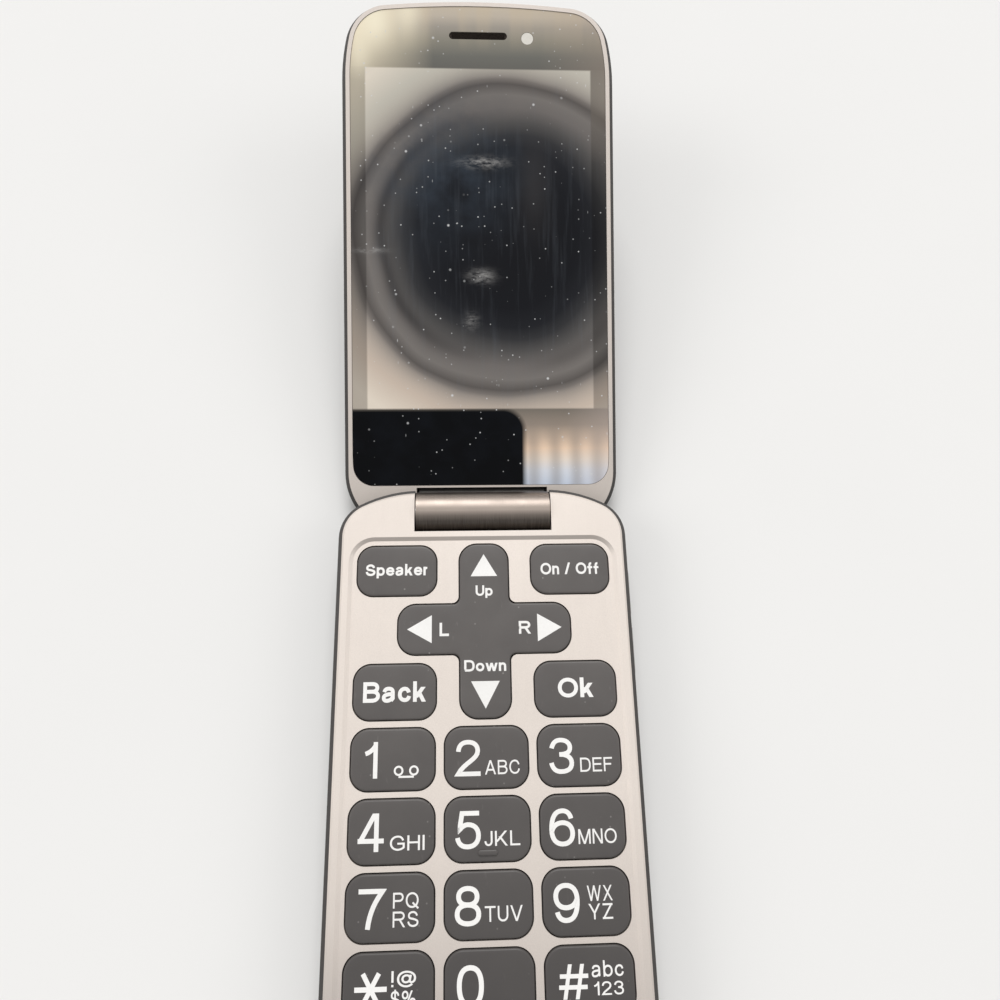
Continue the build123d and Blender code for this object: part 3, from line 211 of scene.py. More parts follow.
class Finish(Graph):
    """A node material in the making."""

    def __init__(self, name, **sockets):
        self.material = bpy.data.materials.new(name)
        self.material.use_nodes = True
        super().__init__(self.material.node_tree)
        self.shader = self.tree.nodes["Principled BSDF"]
        for key, value in sockets.items():
            self.set(key.replace("_", " ").title().replace("Ior", "IOR"), value)
        self.place = self.node("TexCoord").outputs["Object"]

    def set(self, socket, value):
        self.join(value, self.shader.inputs[socket])

    def scaled(self, scale, vector=None):
        inputs = {"Vector": vector or self.place, "Scale": scale}
        return self.node("Mapping", inputs).outputs[0]

    def noise(self, scale, detail=3.0, vector=None, roughness=0.55):
        inputs = {"Vector": vector or self.place, "Scale": scale, "Detail": detail}
        inputs["Roughness"] = roughness
        return self.node("TexNoise", inputs).outputs["Fac"]

    def bump(self, height, strength, distance):
        inputs = {"Height": height, "Strength": strength, "Distance": distance * MM}
        self.set("Normal", self.node("Bump", inputs).outputs[0])

    def dust(self, vector, scale, size):
        """Sparse specks of dust, as a factor."""
        inputs = {"Vector": vector, "Scale": scale}
        cells = self.node("TexVoronoi", inputs, feature="F1").outputs
        near = self.ranged(cells["Distance"], size, size * 0.3)
        pick = self.node("SeparateColor", {0: cells["Color"]}).outputs[0]
        return self.times(near, self.math("GREATER_THAN", pick, DUST_RARE))


def painted_silver(name, colours):
    """Satin metallic paint: fine flakes over a soft cloudiness, with painted shade towards the nose
    and on faces turned to it.
    """
    work = Finish(name, metallic=0.4, coat_weight=0.1, coat_roughness=0.6)
    flake = work.noise(9000, 2.0)
    cloud = work.noise(55, 4.0)
    rubbed = work.noise(1.0, 3.0, work.scaled((900, 90, 900)))
    grain = colours.silver_grain_and_shade
    paint = work.mix(work.ranged(cloud, 0.3, 0.7, 0.0, 0.16), colours.silver, grain)
    paint = work.mix(work.ranged(rubbed, 0.45, 0.75, 0.0, 0.05), paint, grain)
    across, along, _ = work.parts(work.place)
    # Painted shade: the silver darkens towards the nose, most on the left.
    paint = work.mix(work.ranged(along, 0.0, NOSE, 0.0, 0.85), paint, grain)
    left = work.ranged(across, 12 * MM, -12 * MM, 0.3, 0.8)
    nose = work.times(work.ranged(along, -20 * MM, NOSE), left)
    paint = work.mix(nose, paint, shade(142, 134, 131))
    # Painted shade on faces that turn towards the nose.
    facing = work.parts(work.node("TexCoord").outputs["Normal"])[1]
    paint = work.mix(work.ranged(facing, -0.12, -0.5, 0.0, 0.55), paint, shade(122, 114, 108))
    work.set("Base Color", work.mix(work.ranged(flake, 0.3, 0.7, 0.3, 0.0), paint, grain))
    work.set("Roughness", work.ranged(flake, 0.25, 0.75, 0.62, 0.5))
    work.bump(flake, 0.25, 0.008)
    return work.material


def key_satin(name, colours):
    """Satin key plastic: spark texture, pale scuffs and dust, and painted shade towards the nose.
    """
    work = Finish(name, specular_ior_level=0.4)
    fine = work.noise(5200, 2.0)
    broad = work.noise(110, 4.0)
    scuff = work.noise(1.0, 4.0, work.scaled((1500, 420, 900)))
    base = work.mix(work.ranged(broad, 0.35, 0.75, 0.0, 0.5), colours.key, colours.key_worn)
    base = work.mix(work.ranged(scuff, 0.66, 0.8, 0.0, 0.3), base, shade(134, 130, 127))
    specks = work.times(work.dust(work.place, 620, 0.12), 0.55)
    base = work.mix(specks, base, shade(176, 172, 168))
    # Painted shade: the keys darken towards the nose.
    along = work.parts(work.place)[1]
    base = work.mix(work.ranged(along, 20 * MM, -50 * MM, 0.0, 0.85), base, shade(56, 53, 52))
    work.set("Base Color", base)
    work.set("Roughness", work.ranged(broad, 0.3, 0.7, 0.5, 0.4))
    work.bump(fine, 0.3, 0.008)
    return work.material


def moulded(name, tone, worn, roughness=0.5, grain=2600, relief=0.02, **sockets):
    """Moulded plastic: fine spark texture, paler rubbed patches, uneven gloss."""
    work = Finish(name, **sockets)
    fine = work.noise(grain, 3.0)
    broad = work.noise(90, 5.0)
    base = work.mix(work.ranged(broad, 0.42, 0.78, 0.0, 0.7), tone, worn)
    work.set("Base Color", work.mix(work.ranged(fine, 0.35, 0.75, 0.0, 0.45), base, worn))
    work.set("Roughness", work.ranged(broad, 0.3, 0.7, roughness + 0.06, roughness - 0.06))
    work.bump(fine, 0.4, relief)
    return work.material


def brushed(name, tone, pale, stretch, roughness=0.3):
    """Brushed metal: long fine scratches along one axis."""
    work = Finish(name, metallic=1.0)
    line = work.noise(1.0, 4.0, work.scaled(stretch), 0.7)
    patch = work.noise(160, 3.0)
    work.set("Base Color", work.mix(work.ranged(line, 0.3, 0.7), tone, pale))
    work.set("Roughness", work.ranged(patch, 0.3, 0.7, roughness + 0.08, roughness - 0.05))
    work.bump(line, 0.3, 0.02)
    return work.material


# Painted highlight and shade of the barrel: its brightness along Y from the hinge axis, in
# millimetres.
BARREL_HIGHLIGHT_SHADE = {
    -4.6: 0.15, -3.4: 0.24, -2.4: 0.36, -1.5: 1.2, -0.5: 3.0, 0.6: 1.7, 1.6: 1.2, 2.6: 1.8, 4.6: 0.5
}


def highlighted_sleeve(name, tone):
    """Sleeve of the hinge: brushed round, with a painted highlight on top and painted shade towards
    the deck.
    """
    work = Finish(name, metallic=1.0)
    line = work.noise(1.0, 4.0, work.scaled((9000, 260, 260)), 0.7)
    patch = work.noise(160, 3.0)
    along = work.math("DIVIDE", work.parts(work.place)[1], MM)
    along = work.math("SUBTRACT", along, AXIS.y)
    # Painted highlight and shade, by place along Y from the hinge axis.
    stops = {
        place: tuple(share * part for part in tone) for place, share in BARREL_HIGHLIGHT_SHADE.items()
    }
    scratch = work.ranged(line, 0.3, 0.7, 0.0, 0.16)
    work.set("Base Color", work.mix(scratch, work.ramp(along, stops), shade(176, 166, 156)))
    work.set("Roughness", work.ranged(patch, 0.3, 0.7, 0.44, 0.36))
    work.bump(line, 0.12, 0.02)
    return work.material


# Screen under its painted reflection and border of the window, in millimetres on the lid: half
# width, foot and head, the black foot's top and right side, and how soft their edges are.
SCREEN_SIDE, SCREEN_HEAD = 22.55, 88.75
SCREEN_FOOT = 20.6, 20.95
BLACK_TOP, BLACK_RIGHT = 16.3, 4.2
SOFT_EDGE = 0.15
# Middle of the dark disc in the painted reflection, in millimetres on the lid.
DISC_MIDDLE = (5.5, 55.0)


class Window(Finish):
    """Black window over a resting screen: a painted reflection, pale round a dark disc with faint
    rings, and dust.
    """

    def __init__(self, name, colours):
        super().__init__(name, ior=1.5, specular_ior_level=0.08)
        self.colours = colours
        # Place on the lid in millimetres: across, along from the hinge axis, and above it.
        inputs = {"Vector": self.place, "Location": AXIS * MM, "Rotation": (LID_RISE, 0, 0)}
        inputs["Scale"] = (MM, MM, MM)
        self.vector = self.node("Mapping", inputs, vector_type="TEXTURE").outputs[0]
        self.across, self.along, _ = self.parts(self.vector)
        self.cloud = self.noise(0.16, 4.0, self.vector)
        self.soft = self.noise(0.05, 1.0, self.vector)
        self.side = self.ranged(
            self.math("ABSOLUTE", self.across), SCREEN_SIDE - SOFT_EDGE, SCREEN_SIDE + SOFT_EDGE
        )

    def squared(self, value, middle):
        return self.math("POWER", self.math("SUBTRACT", value, middle), 2.0)

    def line(self, value, middle, width):
        """Soft line where a value is near its middle."""
        return self.math("EXPONENT", self.times(self.squared(value, middle), -1 / width**2))

    def patch(self, x, y, wide, tall):
        """Soft oval about a place."""
        flat = self.math("DIVIDE", self.squared(self.across, x), wide**2)
        steep = self.math("DIVIDE", self.squared(self.along, y), tall**2)
        return self.math("EXPONENT", self.times(self.math("ADD", flat, steep), -1.0))

    def above(self, place):
        """1 past a place along the lid."""
        return self.ranged(self.along, place - SOFT_EDGE, place + SOFT_EDGE)

    def screen(self):
        """Painted reflection: a disc toned by the distance from its middle, and the pale reflection
        round it.
        """
        x, y = DISC_MIDDLE
        reach = self.math("ADD", self.squared(self.across, x), self.squared(self.along, y))
        uneven = self.ranged(self.soft, 0.3, 0.7, -0.7, 0.7)
        reach = self.math("ADD", self.math("SQRT", reach), uneven)
        disc = self.chart(reach, {
            0.0: (22, 22, 25), 14.0: (25, 26, 30), 18.0: (34, 35, 39), 20.5: (54, 54, 56),
            23.0: (84, 82, 81), 26.0: (114, 109, 106), 28.5: (122, 117, 113), 30.6: (94, 89, 86),
            32.4: (142, 135, 129), 35.0: (166, 157, 148), 38.0: (190, 180, 168),
        })
        inner = self.times(self.line(reach, 25.0, 1.5), self.ranged(self.across, 2, -14, 0, 0.62))
        disc = self.mix(inner, disc, shade(34, 34, 36))
        right = self.times(self.line(reach, 26.0, 1.4), self.ranged(self.along, 44, 36, 0, 0.3))
        right = self.times(right, self.ranged(self.across, 8, 16))
        disc = self.mix(right, disc, shade(46, 45, 45))
        haze = self.ranged(self.cloud, 0.32, 0.62, 0.15, 0.75)
        disc = self.mix(self.times(self.patch(-7, 69, 13, 12), haze), disc, shade(58, 66, 76))
        disc = self.mix(self.times(self.patch(11, 66, 3, 9), 0.3), disc, shade(78, 75, 75))
        streak = self.noise(1.0, 4.0, self.scaled((1.1, 0.07, 1), self.vector))
        disc = self.mix(self.ranged(streak, 0.52, 0.75, 0.0, 0.1), disc, shade(110, 116, 124))
        rise = self.ranged(self.along, 30, 82)
        pale_reflection = self.mix(rise, self.colours.reflection_foot, self.colours.reflection_head)
        reflected = self.mix(self.ranged(reach, 31.6, 36.5), disc, pale_reflection)
        reflected = self.mix(self.ranged(reach, 36.5, 42.0, 0.0, 0.75), reflected, shade(236, 225, 209))
        # Past the screen's sides the black border dims the painted reflection.
        return self.mix(self.times(self.side, 0.42), reflected, shade(14, 11, 9))

    def head(self):
        """Glass above the screen with a painted reflection, paler towards its upper edge and its
        left corner, and painted highlights.
        """
        head = self.chart(self.along, {
            88.5: (106, 104, 99), 91.2: (114, 113, 107), 94.2: (140, 136, 125),
            97.1: (163, 156, 146), 99.3: (194, 183, 168), 103.0: (210, 196, 174),
        })
        fine = self.noise(1.0, 1.0, self.scaled((0.36, 0.02, 1), self.vector))
        fine = self.times(self.ranged(fine, 0.42, 0.62), self.ranged(self.along, 92, 100, 0, 0.3))
        head = self.mix(fine, head, shade(206, 188, 160))
        left = self.ranged(self.across, -9, -24)
        left = self.times(left, self.ranged(self.along, 86, 97, 0.45, 1.0))
        head = self.mix(left, head, shade(244, 230, 202))
        head = self.mix(self.ranged(self.across, 12, 25, 0, 0.3), head, shade(176, 158, 142))
        # Painted highlights near the upper left corner.
        for x, y, wide, strength in (
            (-20.5, 98.0, 3.2, 0.8), (-14.0, 100.5, 2.4, 0.55), (-23.5, 92.0, 2.0, 0.4)
        ):
            painted_highlight = self.times(self.patch(x, y, wide, 4.5), strength)
            head = self.mix(painted_highlight, head, shade(255, 246, 220))
        return head

    def foot(self):
        """Glass under the screen: black on the left, a painted reflection of a blurred pale band on
        the right.
        """
        # Painted reflection: a pale band that fades along the lid, crossed by darker waves.
        fold = self.chart(self.along, {
            5.5: (206, 216, 232), 8.4: (222, 225, 232), 10.6: (238, 224, 210),
            12.8: (240, 211, 184), 15.0: (200, 178, 158), 17.5: (152, 139, 127),
            20.8: (120, 113, 104),
        })
        wave = self.math("ADD", self.times(self.across, 1.428),
                         self.ranged(self.soft, 0.3, 0.7, -4.2, -2.6))
        wave = self.ranged(self.math("SINE", wave), 1.0, -1.0, 0.0, 0.42)
        wave = self.times(wave, self.ranged(self.along, 19.0, 14.0))
        fold = self.mix(wave, fold, shade(130, 122, 116))
        fold = self.mix(self.ranged(self.across, 17, 26, 0.0, 0.35), fold, shade(200, 184, 176))
        over = self.most(self.math("SUBTRACT", self.along, BLACK_TOP), 0.0)
        past = self.most(self.math("SUBTRACT", self.across, BLACK_RIGHT), 0.0)
        corner = self.math("ADD", self.math("POWER", over, 2.0), self.math("POWER", past, 2.0))
        misted = self.ranged(self.cloud, 0.4, 0.7, 0.0, 0.25)
        black = self.mix(misted, self.colours.glass, shade(24, 28, 36))
        return self.mix(self.ranged(self.math("SQRT", corner), 3.9, 5.0), black, fold)

    def smears(self):
        grain = self.noise(1.0, 5.0, self.scaled((0.55, 1.3, 1), self.vector), 0.7)
        marks = self.most(self.patch(0.8, 70.0, 3.8, 1.0), self.patch(0.2, 47.2, 2.2, 1.2))
        marks = self.most(marks, self.times(self.patch(-1.9, 38.2, 1.3, 1.4), 0.6))
        marks = self.most(marks, self.times(self.patch(-21.8, 52.3, 2.6, 0.5), 0.8))
        return self.times(self.times(marks, self.ranged(grain, 0.38, 0.62)), 0.75)

    def specks(self):
        specks = self.most(self.dust(self.vector, 0.36, 0.12), self.dust(self.vector, 0.9, 0.17))
        specks = self.times(specks, self.ranged(self.cloud, 0.35, 0.55, 0.1, 0.95))
        tall = self.scaled((1.0, 0.3, 1), self.vector)
        return self.most(specks, self.times(self.dust(tall, 0.55, 0.07), 0.6))

    def finished(self):
        corner = self.times(self.side, self.ranged(self.along, 70.0, 91.0))
        top = self.most(self.above(SCREEN_HEAD), corner)
        # Painted reflection over the screen, with the glass above it.
        reflected = self.mix(top, self.screen(), self.head())
        base = self.mix(self.ranged(self.along, *SCREEN_FOOT), self.foot(), reflected)
        base = self.mix(self.smears(), base, shade(168, 166, 164))
        specks = self.specks()
        self.set("Base Color", self.mix(specks, base, shade(214, 214, 214)))
        gloss = self.ranged(self.cloud, 0.3, 0.7, 0.04, 0.08)
        self.set("Roughness", self.math("ADD", gloss, specks))
        return self.material


def board_finish(name):
    """Solder resist over copper tracks."""
    work = Finish(name, roughness=0.35)
    inputs = {"Vector": work.scaled((420, 420, 420)), "Scale": 1.0}
    tracks = work.node("TexVoronoi", inputs, feature="DISTANCE_TO_EDGE")
    edge = work.ranged(tracks.outputs["Distance"], 0.02, 0.06)
    work.set("Base Color", work.mix(edge, (0.03, 0.2, 0.09), (0.015, 0.11, 0.05)))
    work.bump(edge, 0.3, 0.03)
    return work.material


def striped(name, tone, line, pitch, roughness):
    """Flat cable with its conductors showing as lines."""
    work = Finish(name, roughness=roughness)
    inputs = {"Vector": work.place, "Scale": 0.314 / (pitch * MM), "Distortion": 0.4}
    wave = work.node("TexWave", inputs, bands_direction="X")
    band = work.ranged(wave.outputs["Fac"], 0.35, 0.65)
    work.set("Base Color", work.mix(band, tone, line))
    work.bump(band, 0.25, 0.03)
    return work.material


def finishes(colours):
    """Every finish, made once and kept by name."""
    made = bpy.data.materials
    if "silver_paint" in made:
        return made
    painted_silver("silver_paint", colours)
    key_satin("key_satin", colours)
    Window("window_black", colours).finished()
    highlighted_sleeve("barrel_brushed", colours.barrel)
    board_finish("board_resist")
    striped("flex_film", shade(186, 118, 40), shade(150, 88, 26), 0.35, 0.35)
    for name, tone, worn, *texture in (
        ("print_ink", colours.legend, shade(232, 230, 227), 0.5, 2400, 0.004),
        ("shell_plastic", colours.shell, shade(74, 71, 69), 0.44, 3200, 0.02),
        ("sensor_pale", shade(216, 212, 202), shade(238, 234, 225), 0.2, 1500, 0.01),
        ("mat_silicone", shade(206, 206, 200), shade(226, 226, 220), 0.6, 1400, 0.02),
        ("battery_label", shade(52, 52, 56), shade(72, 72, 76), 0.38, 900, 0.01),
        ("moulded_black", shade(26, 26, 28), shade(46, 46, 48), 0.48, 2000, 0.02),
        ("rocker_plastic", colours.rocker, shade(176, 172, 168), 0.36, 2400, 0.015),
        ("panel_black", shade(30, 30, 34), shade(40, 40, 46), 0.2, 700, 0.0),
    ):
        moulded(name, tone, worn, *texture)
    moulded("lens_dark", shade(14, 14, 20), shade(22, 22, 34), 0.06, 300, 0.0, coat_weight=1.0)
    for name, tone, pale, stretch, roughness in (
        ("mesh_dark", (30, 26, 23), (52, 46, 41), (4000, 4000, 4000), 0.5),
        ("works_steel", (170, 170, 172), (205, 205, 206), (900, 9000, 9000), 0.3),
        ("shield_tin", (188, 190, 190), (214, 215, 214), (700, 700, 7000), 0.32),
        ("chassis_dark", (52, 50, 49), (66, 64, 62), (700, 5000, 700), 0.5),
        ("turned_brass", (196, 160, 92), (222, 190, 126), (700, 7000, 7000), 0.3),
        ("ring_satin", (150, 148, 146), (196, 194, 190), (5000, 700, 5000), 0.28),
    ):
        brushed(name, shade(*tone), shade(*pale), stretch, roughness)
    return made


FINISH_NODES = {
    "silver_paint": "base_front_case lid_inner_frame",
    "shell_plastic": "base_rear_case battery_cover lid_outer_cover",
    "battery_label": "battery",
    "board_resist": "main_board lid_board",
    "shield_tin": "metal_domes shield_can sim_socket charging_port",
    "mat_silicone": "keypad_mat dpad_pivot",
    "moulded_black": "loudspeaker headset_jack volume_switch earpiece camera_module",
    "works_steel": "vibration_motor microphone case_screws hinge_shaft hinge_cam "
                   "hinge_cartridge hinge_spring lid_magnet",
    "turned_brass": "hinge_bush",
    "flex_film": "base_flex_cable lid_flex_cable",
    "barrel_brushed": "hinge_barrel",
    "chassis_dark": "lid_chassis",
    "window_black": "display_window",
    "sensor_pale": "sensor_lens",
    "mesh_dark": "earpiece_mesh",
    "panel_black": "main_display outer_display",
    "lens_dark": "outer_window camera_lens",
    "ring_satin": "camera_ring",
    "rocker_plastic": "volume_rocker",
}


# ---------------------------------------------------------------- mesh helpers
def set_down(name, mesh, body):
    piece = bpy.data.objects.new(name, mesh)
    bpy.context.scene.collection.objects.link(piece)
    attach(piece, body)
    return piece


def mesh_piece(name, points, faces, finish, body):
    """A finished mesh piece from points in millimetres, riding on its body."""
    mesh = bpy.data.meshes.new(name)
    mesh.from_pydata([Vector(point) * MM for point in points], [], faces)
    mesh.validate()
    mesh.materials.append(finish)
    return set_down(name, mesh, body)


def smooth(piece, angle=35):
    for face in piece.data.polygons:
        face.use_smooth = True
    piece.data.set_sharp_from_angle(angle=math.radians(angle))


def turned(degrees):
    return Vector((math.cos(math.radians(degrees)), math.sin(math.radians(degrees))))


def rounded_box(width, height, radius, steps):
    """Rounded rectangle about its middle, with the outward direction at each point."""
    line = []
    for turn, (across, up) in enumerate(((1, 1), (-1, 1), (-1, -1), (1, -1))):
        centre = Vector((across * (width / 2 - radius), up * (height / 2 - radius)))
        for step in range(steps + 1):
            out = turned(90 * (turn + step / steps))
            line.append((centre + out * radius, out))
    return line


def cross_line(span, arm, tip, notch, steps):
    """Outline of the direction pad, with the outward direction at each point."""
    line = []
    ahead, inner, aside = span / 2 - tip, arm / 2 + notch, arm / 2 - tip
    for quarter in range(4):
        spin = Matrix.Rotation(math.radians(90 * quarter), 2)
        for centre, radius, start, end, side in (
            ((ahead, aside), tip, 0, 90, 1),
            ((inner, inner), notch, 270, 180, -1),
            ((aside, ahead), tip, 0, 90, 1),
        ):
            for step in range(steps + 1):
                out = turned(start + (end - start) * step / steps)
                line.append((spin @ (Vector(centre) + out * radius), spin @ out * side))
    return line


def cap(name, line, centre, levels, shares, finish, body):
    """A closed cap: levels of inset and height, then shares of its size with their heights."""
    rings = [[(point - out * inset, height) for point, out in line] for inset, height in levels]
    last = levels[-1][0]
    for share, height in shares:
        rings.append([((point - out * last) * share, height) for point, out in line])
    count = len(line)
    points = [(centre.x + flat.x, centre.y + flat.y, high) for ring in rings for flat, high in ring]
    faces = [tuple(reversed(range(count)))]
    for low in range(0, (len(rings) - 1) * count, count):
        for step in range(count):
            after = (step + 1) % count
            faces.append((low + step, low + after, low + after + count, low + step + count))
    faces.append(tuple(range(len(points) - count, len(points))))
    piece = mesh_piece(name, points, faces, finish, body)
    smooth(piece)
    return piece


# ---------------------------------------------------------------- keys
# Lip under the deck, its top over its foot, and the upper edge of the caps, in millimetres.
LIP = 0.4
KEY_LIP, PAD_LIP = 0.5, 0.4
EDGE_TOP = 10.66
KEY_CORNER = 3.0
PAD_ARM = 9.0
PAD_TIP = 3.2
PAD_NOTCH = 1.2
EDGE_STEPS = 5
CROWN_SHARES = (0.85, 0.65, 0.45, 0.25, 0.08)
# Bar on the middle key that fingers find: its size, how far down the key, and its levels.
NIB_SIZE = (3.3, 0.9, 0.42)
NIB_DOWN = 3.6
NIB_LEVELS = [(0, 10.6), (0, 10.84), (0.06, 10.92), (0.2, 10.97)]
NIB_TOP = [(0.5, 10.99)]
KEYS = ["speaker_key", "power_key", "back_key", "ok_key", "assist_key"]
KEYS += [f"key_{mark}" for mark in (*range(10), "star", "hash")]


def centre_of(node):
    low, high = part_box(node)
    return (low + high) / 2 / MM


def top_size(node):
    """Width and height of a cap inside its lip, in millimetres."""
    low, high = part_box(node)
    size = (high - low) / MM
    return size.x - 2 * LIP, size.y - 2 * LIP


def top_rings(sizes, node, lip_rise):
    """Levels from the lip under the deck to the rounded upper edge, then shares to the crown."""
    radius, crown = sizes.key_round / MM, sizes.key_crown / MM
    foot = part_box(node)[0].z / MM
    lip_top = foot + lip_rise
    levels = [(-LIP, foot), (-LIP, lip_top), (0, lip_top), (0, EDGE_TOP - radius)]
    for step in range(1, EDGE_STEPS + 1):
        out = turned(90 * step / EDGE_STEPS)
        levels.append((radius * (1 - out.x), EDGE_TOP - radius * (1 - out.y)))
    return levels, [(share, EDGE_TOP + crown * (1 - share**2)) for share in CROWN_SHARES]


class PHONE_OT_key_caps(bpy.types.Operator):
    """Make the seventeen rounded key caps with their lips."""

    bl_idname = "phone.key_caps"
    bl_label = "Key Caps"

    def execute(self, context):
        sizes = context.scene.phone_sizes
        finish = finishes(context.scene.phone_colours)["key_satin"]
        for node in KEYS:
            line = rounded_box(*top_size(node), KEY_CORNER, sizes.corner_steps)
            rings = top_rings(sizes, node, KEY_LIP)
            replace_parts(cap(f"cap_{node}", line, centre_of(node), *rings, finish, node), node)
        centre = centre_of("key_5") - Vector((0, NIB_DOWN, 0))
        line = rounded_box(*NIB_SIZE, 6)
        cap("bar_key_5", line, centre, NIB_LEVELS, NIB_TOP, finish, "key_5")
        return {"FINISHED"}


class PHONE_OT_direction_pad(bpy.types.Operator):
    """Make the cross of the direction pad."""

    bl_idname = "phone.direction_pad"
    bl_label = "Direction Pad"

    def execute(self, context):
        sizes = context.scene.phone_sizes
        finish = finishes(context.scene.phone_colours)["key_satin"]
        span = top_size("dpad_key")[0]
        line = cross_line(span, PAD_ARM, PAD_TIP, PAD_NOTCH, sizes.corner_steps)
        rings = top_rings(sizes, "dpad_key", PAD_LIP)
        piece = cap("cap_dpad", line, centre_of("dpad_key"), *rings, finish, "dpad_key")
        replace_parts(piece, "dpad_key")
        return {"FINISHED"}


# ---------------------------------------------------------------- print
FIGURE_TALL, FIGURE_WIDE, FIGURE_BASE = 5.9, 4.3, -3.0
LETTERS_TALL = 2.3


# Lines of print: text, weight, cap height, width or None, middle across, baseline.
def figure(words, middle, wide=FIGURE_WIDE):
    return words, 0, FIGURE_TALL, wide, middle, FIGURE_BASE


def letters(words, wide, middle, base, tall=LETTERS_TALL):
    return words, 0, tall, wide, middle, base


def bold(words, tall, wide, base, middle=0):
    return words, 1, tall, wide, middle, base


LINES = {
    "speaker_key": [bold("Speaker", 2.17, 11.5, -0.95)],
    "power_key": [bold("On / Off", 2.2, 10.9, -1.1)],
    "back_key": [bold("Back", 3.5, 11.0, -1.75)],
    "ok_key": [bold("Ok", 3.4, 6.3, -1.55)],
    "dpad_key": [bold("Up", 1.93, None, 5.9), bold("L", 2.4, None, -1.3, -7.3),
                 bold("R", 2.3, None, -1.1, 7.3), bold("Down", 2.0, 7.5, -7.6)],
    "key_1": [figure("1", -3.8, None)],
    "key_2": [figure("2", -3.2), letters("ABC", 6.0, 2.7, -2.8)],
    "key_3": [figure("3", -3.15), letters("DEF", 5.6, 2.85, -2.75)],
    "key_4": [figure("4", -3.4, 4.4), letters("GHI", 5.75, 2.7, -2.9)],
    "key_5": [figure("5", -3.3), letters("JKL", 6.0, 2.45, -2.6)],
    "key_6": [figure("6", -3.55), letters("MNO", 6.5, 2.4, -2.7)],
    "key_7": [figure("7", -2.95), letters("PQ", 4.15, 2.6, -0.05), letters("RS", 4.15, 2.6, -2.8)],
    "key_8": [figure("8", -3.4), letters("TUV", 6.2, 2.45, -2.45)],
    "key_9": [figure("9", -3.3), letters("WX", 4.2, 2.25, 0.1), letters("YZ", 4.0, 2.25, -2.6)],
    "key_0": [figure("0", -3.1)],
    "key_star": [letters("!@", 4.0, 2.4, 0.25, 2.2), letters("$%", 4.0, 2.4, -2.5, 2.2)],
    "key_hash": [letters("#", 4.9, -2.7, -2.4, 4.9), letters("abc", 5.2, 2.85, 0.6),
                 letters("123", 4.9, 2.85, -1.95, 1.9)],
}
